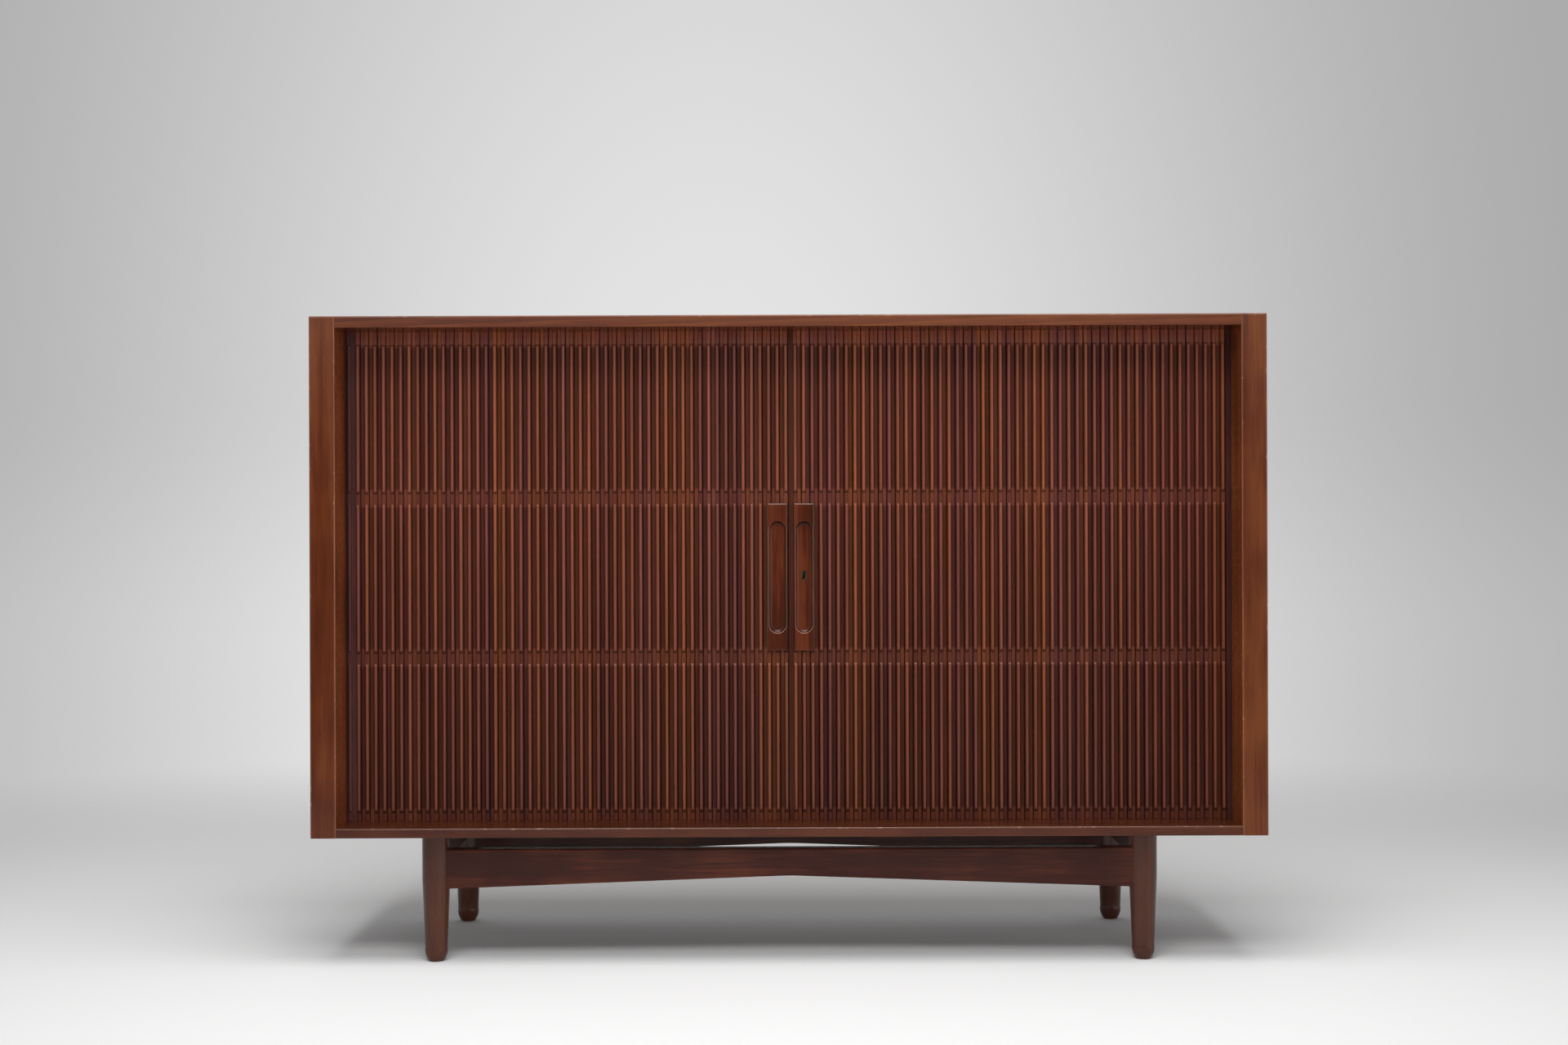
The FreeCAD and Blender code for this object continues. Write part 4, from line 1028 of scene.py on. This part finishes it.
def leg_profile(radius, top):
    """Radius and height from the floor up: the foot's arc, the taper, the straight part."""
    flat = np.array([FOOT_FLAT, 0.0])
    bulge = np.array(FOOT_BULGE)
    ankle = np.array([FOOT_RADIUS, FOOT_HEIGHT])
    centre = circle_through(flat, bulge, ankle)
    first = np.arctan2(*(flat - centre)[::-1])
    last = np.arctan2(*(ankle - centre)[::-1])
    angles = np.linspace(first, last, FOOT_ROWS)
    size = np.linalg.norm(flat - centre)
    arc = centre + size * np.stack([np.cos(angles), np.sin(angles)], axis=-1)
    taper = np.linspace(ankle, [radius, LEG_STRAIGHT_FROM], TAPER_ROWS)[1:]
    return np.concatenate([arc, taper, [[radius, top]]])


def turned_leg(node):
    """The profile carried round the leg's middle line: x and y are the radius times cosine and sine."""
    low, high = box_of(node)
    middle = (low + high) / 2
    profile = leg_profile((high[0] - low[0]) / 2, high[2])
    angles = np.linspace(0, 2 * np.pi, LEG_SIDES, endpoint=False)
    x = middle[0] + profile[:, :1] * np.cos(angles)
    y = middle[1] + profile[:, :1] * np.sin(angles)
    z = np.broadcast_to(profile[:, 1:], x.shape)
    points, faces = shell(np.stack([x, y, z], axis=-1))
    return piece(node + "_turned", points, faces, "case", leg_wood, [node])


legs = [turned_leg(end + "_" + side_name + "_leg") for end in ("front", "rear") for side_name in SIDES]
print("legs:", len(legs), "with", len(legs[0].data.polygons), "faces each")

# %% [markdown]
# ## Inside the cabinet
# When the doors slide away they show linings, a partition and shelves in a lighter, plainer veneer. The
# recipe is the same with paler stops. The back is a matt veneered board that is hardly ever seen.


# %% Inner wood
INNER_STOPS = [(0.28, (0.130, 0.052, 0.022)), (0.48, (0.200, 0.086, 0.038)), (0.68, (0.275, 0.130, 0.062))]
inner_upright = oiled_wood("inner wood upright", "z", INNER_STOPS, roughness=0.48)
inner_lying = oiled_wood("inner wood lying", "x", INNER_STOPS, roughness=0.48)
back_wood = oiled_wood("back board", "z", INNER_STOPS, roughness=0.62)
dress(inner_upright, "left_liner", "right_liner", "false_back", "partition")
dress(inner_lying, "left_shelf", "right_shelf")
dress(back_wood, "back_panel")
print("inside dressed")

# %% [markdown]
# ## Metal
# The lock and its screws are dull dark steel, and the shelf pegs are brass. The keyhole liner is worn pale
# at its rim and painted black inside, as painted shade in the hole. Metal needs little colour and much
# gloss: fine scratches vary the roughness, and a soft noise darkens the tint as tarnish does.


# %% Metal finishes
STEEL_COLOURS = ((0.13, 0.125, 0.12), (0.05, 0.045, 0.04))
LINER_COLOURS = ((0.14, 0.115, 0.075), (0.02, 0.018, 0.012))
BRASS_COLOURS = ((0.60, 0.42, 0.17), (0.34, 0.22, 0.08))
TARNISH_SCALE = 240.0
TARNISH_DARK = 0.35
TARNISH_BRIGHT = 0.6
# Painted shade inside the keyhole, from this far behind the liner's front.
HOLE_SHADE_DEPTH = 0.0007
SCRATCH_SCALE = 2600.0
SCRATCH_STRETCH = (1.0, 1.0, 0.1)
METAL_SMOOTHER = 0.08
METAL_ROUGHER = 0.12
SCRATCH_STRENGTH = 0.15
SCRATCH_DEPTH = 0.0001


def worn_metal(name, bright, dark, roughness, front_at=None):
    """Metal with tarnish and scratches. Given its front, it is painted dark behind it: painted shade."""
    material, tree, shader = finish(name)
    tarnish = noise(tree, own_place(tree), TARNISH_SCALE, detail=3.0)
    if front_at is not None:
        depth = split(tree, own_place(tree))["Y"]
        # Painted shade: dark behind the front, inside the hole.
        unshaded = remap(tree, depth, front_at, front_at + HOLE_SHADE_DEPTH, 1.0, 0.0)
        tarnish = calc(tree, "MULTIPLY", tarnish, unshaded)
    tint = ramp(tree, tarnish, [(TARNISH_DARK, dark), (TARNISH_BRIGHT, bright)])
    tree.links.new(tint, shader.inputs["Base Color"])
    scratches = noise(tree, stretched(tree, SCRATCH_STRETCH), SCRATCH_SCALE, detail=2.0)
    limits = (roughness - METAL_SMOOTHER, roughness + METAL_ROUGHER)
    rough = remap(tree, scratches, NOISE_LOW, NOISE_HIGH, *limits)
    tree.links.new(rough, shader.inputs["Roughness"])
    emboss(tree, shader, scratches, SCRATCH_STRENGTH, SCRATCH_DEPTH)
    shader.inputs["Metallic"].default_value = 1.0
    return material


liner_front = box_of("keyhole_liner")[0][1]
steel = worn_metal("lock steel", *STEEL_COLOURS, roughness=0.42)
liner_metal = worn_metal("keyhole metal", *LINER_COLOURS, roughness=0.36, front_at=liner_front)
brass = worn_metal("pin brass", *BRASS_COLOURS, roughness=0.30)
dress(steel, "lock_case", "lock_claw", "lock_screws", "keeper", "base_screws")
dress(liner_metal, "keyhole_liner")
dress(brass, "shelf_pins")
print("metal dressed")

# %% [markdown]
# ## The studio
# The cabinet stands on a plain pale floor in front of a plain pale backdrop, with no line between them.
# The floor is a disc that fades out with distance, and the backdrop is the sky itself, which shows a soft
# grey to the camera. For light and reflections the sky is a room: a pale wall at the back, a dim left
# side, a bright right side, dim above and dark behind the camera.


# %% Floor
FLOOR_COLOUR = (0.70, 0.70, 0.70, 1.0)
FLOOR_RADIUS = 9.0
FLOOR_MIDDLE = (0.0, -0.4, 0.0)
FLOOR_SIDES = 96
FADE_FROM = 1.2
FADE_TO = 3.6


def floor_material():
    material = bpy.data.materials.new("floor")
    material.use_nodes = True
    tree = material.node_tree
    tree.nodes.clear()
    apart = {0: own_place(tree), 1: FLOOR_MIDDLE}
    distance = add(tree, "ShaderNodeVectorMath", apart, operation="DISTANCE").outputs["Value"]
    pale = add(tree, "ShaderNodeBsdfDiffuse", {"Color": FLOOR_COLOUR}).outputs[0]
    clear = add(tree, "ShaderNodeBsdfTransparent").outputs[0]
    fade = remap(tree, distance, FADE_FROM, FADE_TO)
    both = add(tree, "ShaderNodeMixShader", {0: fade, 1: pale, 2: clear}).outputs[0]
    add(tree, "ShaderNodeOutputMaterial", {"Surface": both})
    return material


angles = np.linspace(0, 2 * np.pi, FLOOR_SIDES, endpoint=False)
rim = FLOOR_RADIUS * np.stack([np.cos(angles), np.sin(angles), np.zeros(len(angles))], axis=-1)
floor_mesh = bpy.data.meshes.new("floor")
floor_mesh.from_pydata(rim.tolist(), [], [list(range(len(rim)))])
floor_mesh.materials.append(floor_material())
floor = bpy.data.objects.new("floor", floor_mesh)
bpy.context.scene.collection.objects.link(floor)
floor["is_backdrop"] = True
print("floor radius", FLOOR_RADIUS, "m")


# %% Backdrop
BACKDROP_MIDDLE = (0.79, 0.79, 0.79, 1.0)
BACKDROP_EDGE = (0.40, 0.40, 0.40, 1.0)
BACKDROP_ASIDE = 0.03
BACKDROP_FLATTEN = 0.6
BACKDROP_SPREAD = 0.42
HORIZON = 0.06
FLOOR_GLOW = 1.16
ROOM_LEFT = (0.45, 0.45, 0.45, 1.0)
ROOM_RIGHT = (1.5, 1.5, 1.5, 1.0)
ROOM_ABOVE = (0.20, 0.20, 0.20, 1.0)
ROOM_BACK = (0.55, 0.55, 0.55, 1.0)
ROOM_BEHIND_CAMERA = (0.05, 0.05, 0.05, 1.0)
SIDES_FADE = (-0.3, 0.3)
CAMERA_FADE = (-0.93, -0.75)
CEILING_FADE = (0.20, 0.50)
BACK_FADE = (0.0, 0.3)


def backdrop_colour(tree, parts):
    """What is seen behind the cabinet: pale in the middle, darker outwards, brighter below the horizon."""
    # The paler middle is a painted pool of light on the backdrop.
    sideways = calc(tree, "ABSOLUTE", calc(tree, "ADD", parts["X"], BACKDROP_ASIDE))
    upward = calc(tree, "MULTIPLY", calc(tree, "MAXIMUM", parts["Z"], 0.0), BACKDROP_FLATTEN)
    squares = calc(tree, "ADD", calc(tree, "POWER", sideways, 2.0), calc(tree, "POWER", upward, 2.0))
    outward = remap(tree, calc(tree, "SQRT", squares), 0.0, BACKDROP_SPREAD)
    plain = mix(tree, outward, BACKDROP_MIDDLE, BACKDROP_EDGE)
    return scaled(tree, plain, remap(tree, parts["Z"], HORIZON, -HORIZON, 1.0, FLOOR_GLOW))


def room_colour(tree, parts):
    """What lights the cabinet and shows in its gloss. Each fade is a range of the heading's x, y or z."""
    sides = mix(tree, remap(tree, parts["X"], *SIDES_FADE), ROOM_LEFT, ROOM_RIGHT)
    level_room = mix(tree, remap(tree, parts["Y"], *CAMERA_FADE), ROOM_BEHIND_CAMERA, sides)
    front_room = mix(tree, remap(tree, parts["Z"], *CEILING_FADE), level_room, ROOM_ABOVE)
    return mix(tree, remap(tree, parts["Y"], *BACK_FADE), front_room, ROOM_BACK)


world = bpy.data.worlds.new("studio")
bpy.context.scene.world = world
world.use_nodes = True
sky = world.node_tree
sky.nodes.clear()
heading = split(sky, add(sky, "ShaderNodeTexCoord").outputs["Generated"])
rays = add(sky, "ShaderNodeLightPath").outputs
seen = calc(sky, "MAXIMUM", rays["Is Camera Ray"], rays["Is Transmission Ray"])
sky_colour = mix(sky, seen, room_colour(sky, heading), backdrop_colour(sky, heading))
background = add(sky, "ShaderNodeBackground", {"Color": sky_colour})
add(sky, "ShaderNodeOutputWorld", {"Surface": background.outputs[0]})
print("backdrop spread", BACKDROP_SPREAD)

# %% [markdown]
# ## Light
# A soft box stands high in front, and another hangs overhead, a little before the case. The shadow under
# the case tells where they are: it has a dark core, and in front of it a paler step that only the overhead
# box leaves dark. A long panel over the camera gives the flat wood its sheen. A wide fill behind the
# camera reaches under the overhang of the top. It is kept out of reflections, as a photographer would do
# with a polarising filter, because the flat faces would mirror it.


# %% Lamps
WIDE = 180.0
NARROW = 110.0


def soft_box(name, place, target, size, watts, spread=WIDE):
    lamp = bpy.data.lights.new(name, "AREA")
    lamp.shape = "RECTANGLE"
    lamp.size, lamp.size_y = size
    lamp.energy = watts
    lamp.spread = math.radians(spread)
    made = bpy.data.objects.new(name, lamp)
    bpy.context.scene.collection.objects.link(made)
    look = np.array(target) - np.array(place)
    flat = math.hypot(look[0], look[1])
    made.location = place
    made.rotation_euler = (math.atan2(flat, -look[2]), 0.0, math.atan2(-look[0], look[1]))
    return made


soft_box("front box", (-0.2, -2.5, 2.9), target=(0.0, -0.15, 0.5), size=(2.2, 1.0), watts=21.0, spread=NARROW)
soft_box("panel over the camera", (0.0, -4.0, 1.75), target=(0.0, 0.0, 1.0), size=(3.8, 0.8), watts=16.0)
above = (0.0, -0.85, 3.2)
soft_box("overhead box", above, target=(0.0, -0.4, 0.3), size=(2.4, 1.6), watts=32.0, spread=NARROW)
fill = soft_box("fill box", (0.5, -5.5, 0.45), target=(0.0, 0.0, 0.7), size=(3.0, 0.9), watts=118.0)
fill.visible_glossy = False

# %% [markdown]
# ## Camera
# The photograph was taken level, from about table height, with a normal lens, almost square to the doors.
# A very small roll makes up for a camera that was not quite upright.


# %% Camera
CAMERA_PLACE = (-0.0069, -3.633, 0.6935)
CAMERA_ROLL = 0.2
LENS = 50.0
SENSOR_WIDTH = 36.0
camera_data = bpy.data.cameras.new("camera")
camera_data.lens = LENS
camera_data.sensor_width = SENSOR_WIDTH
camera = bpy.data.objects.new("camera", camera_data)
camera.location = CAMERA_PLACE
camera.rotation_euler = (math.pi / 2, math.radians(CAMERA_ROLL), 0.0)
bpy.context.scene.collection.objects.link(camera)
bpy.context.scene.camera = camera
bpy.context.scene.view_settings.view_transform = "Standard"
print("camera at", tuple(round(value, 3) for value in camera.location))

# %% [markdown]
# ## Finish
# The box of the dressed cabinet is printed.

# %% Sizes and finish
shown_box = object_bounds()
for end, corner in zip(("from", "to"), shown_box):
    print("shown", end, [round(value, 4) for value in corner])
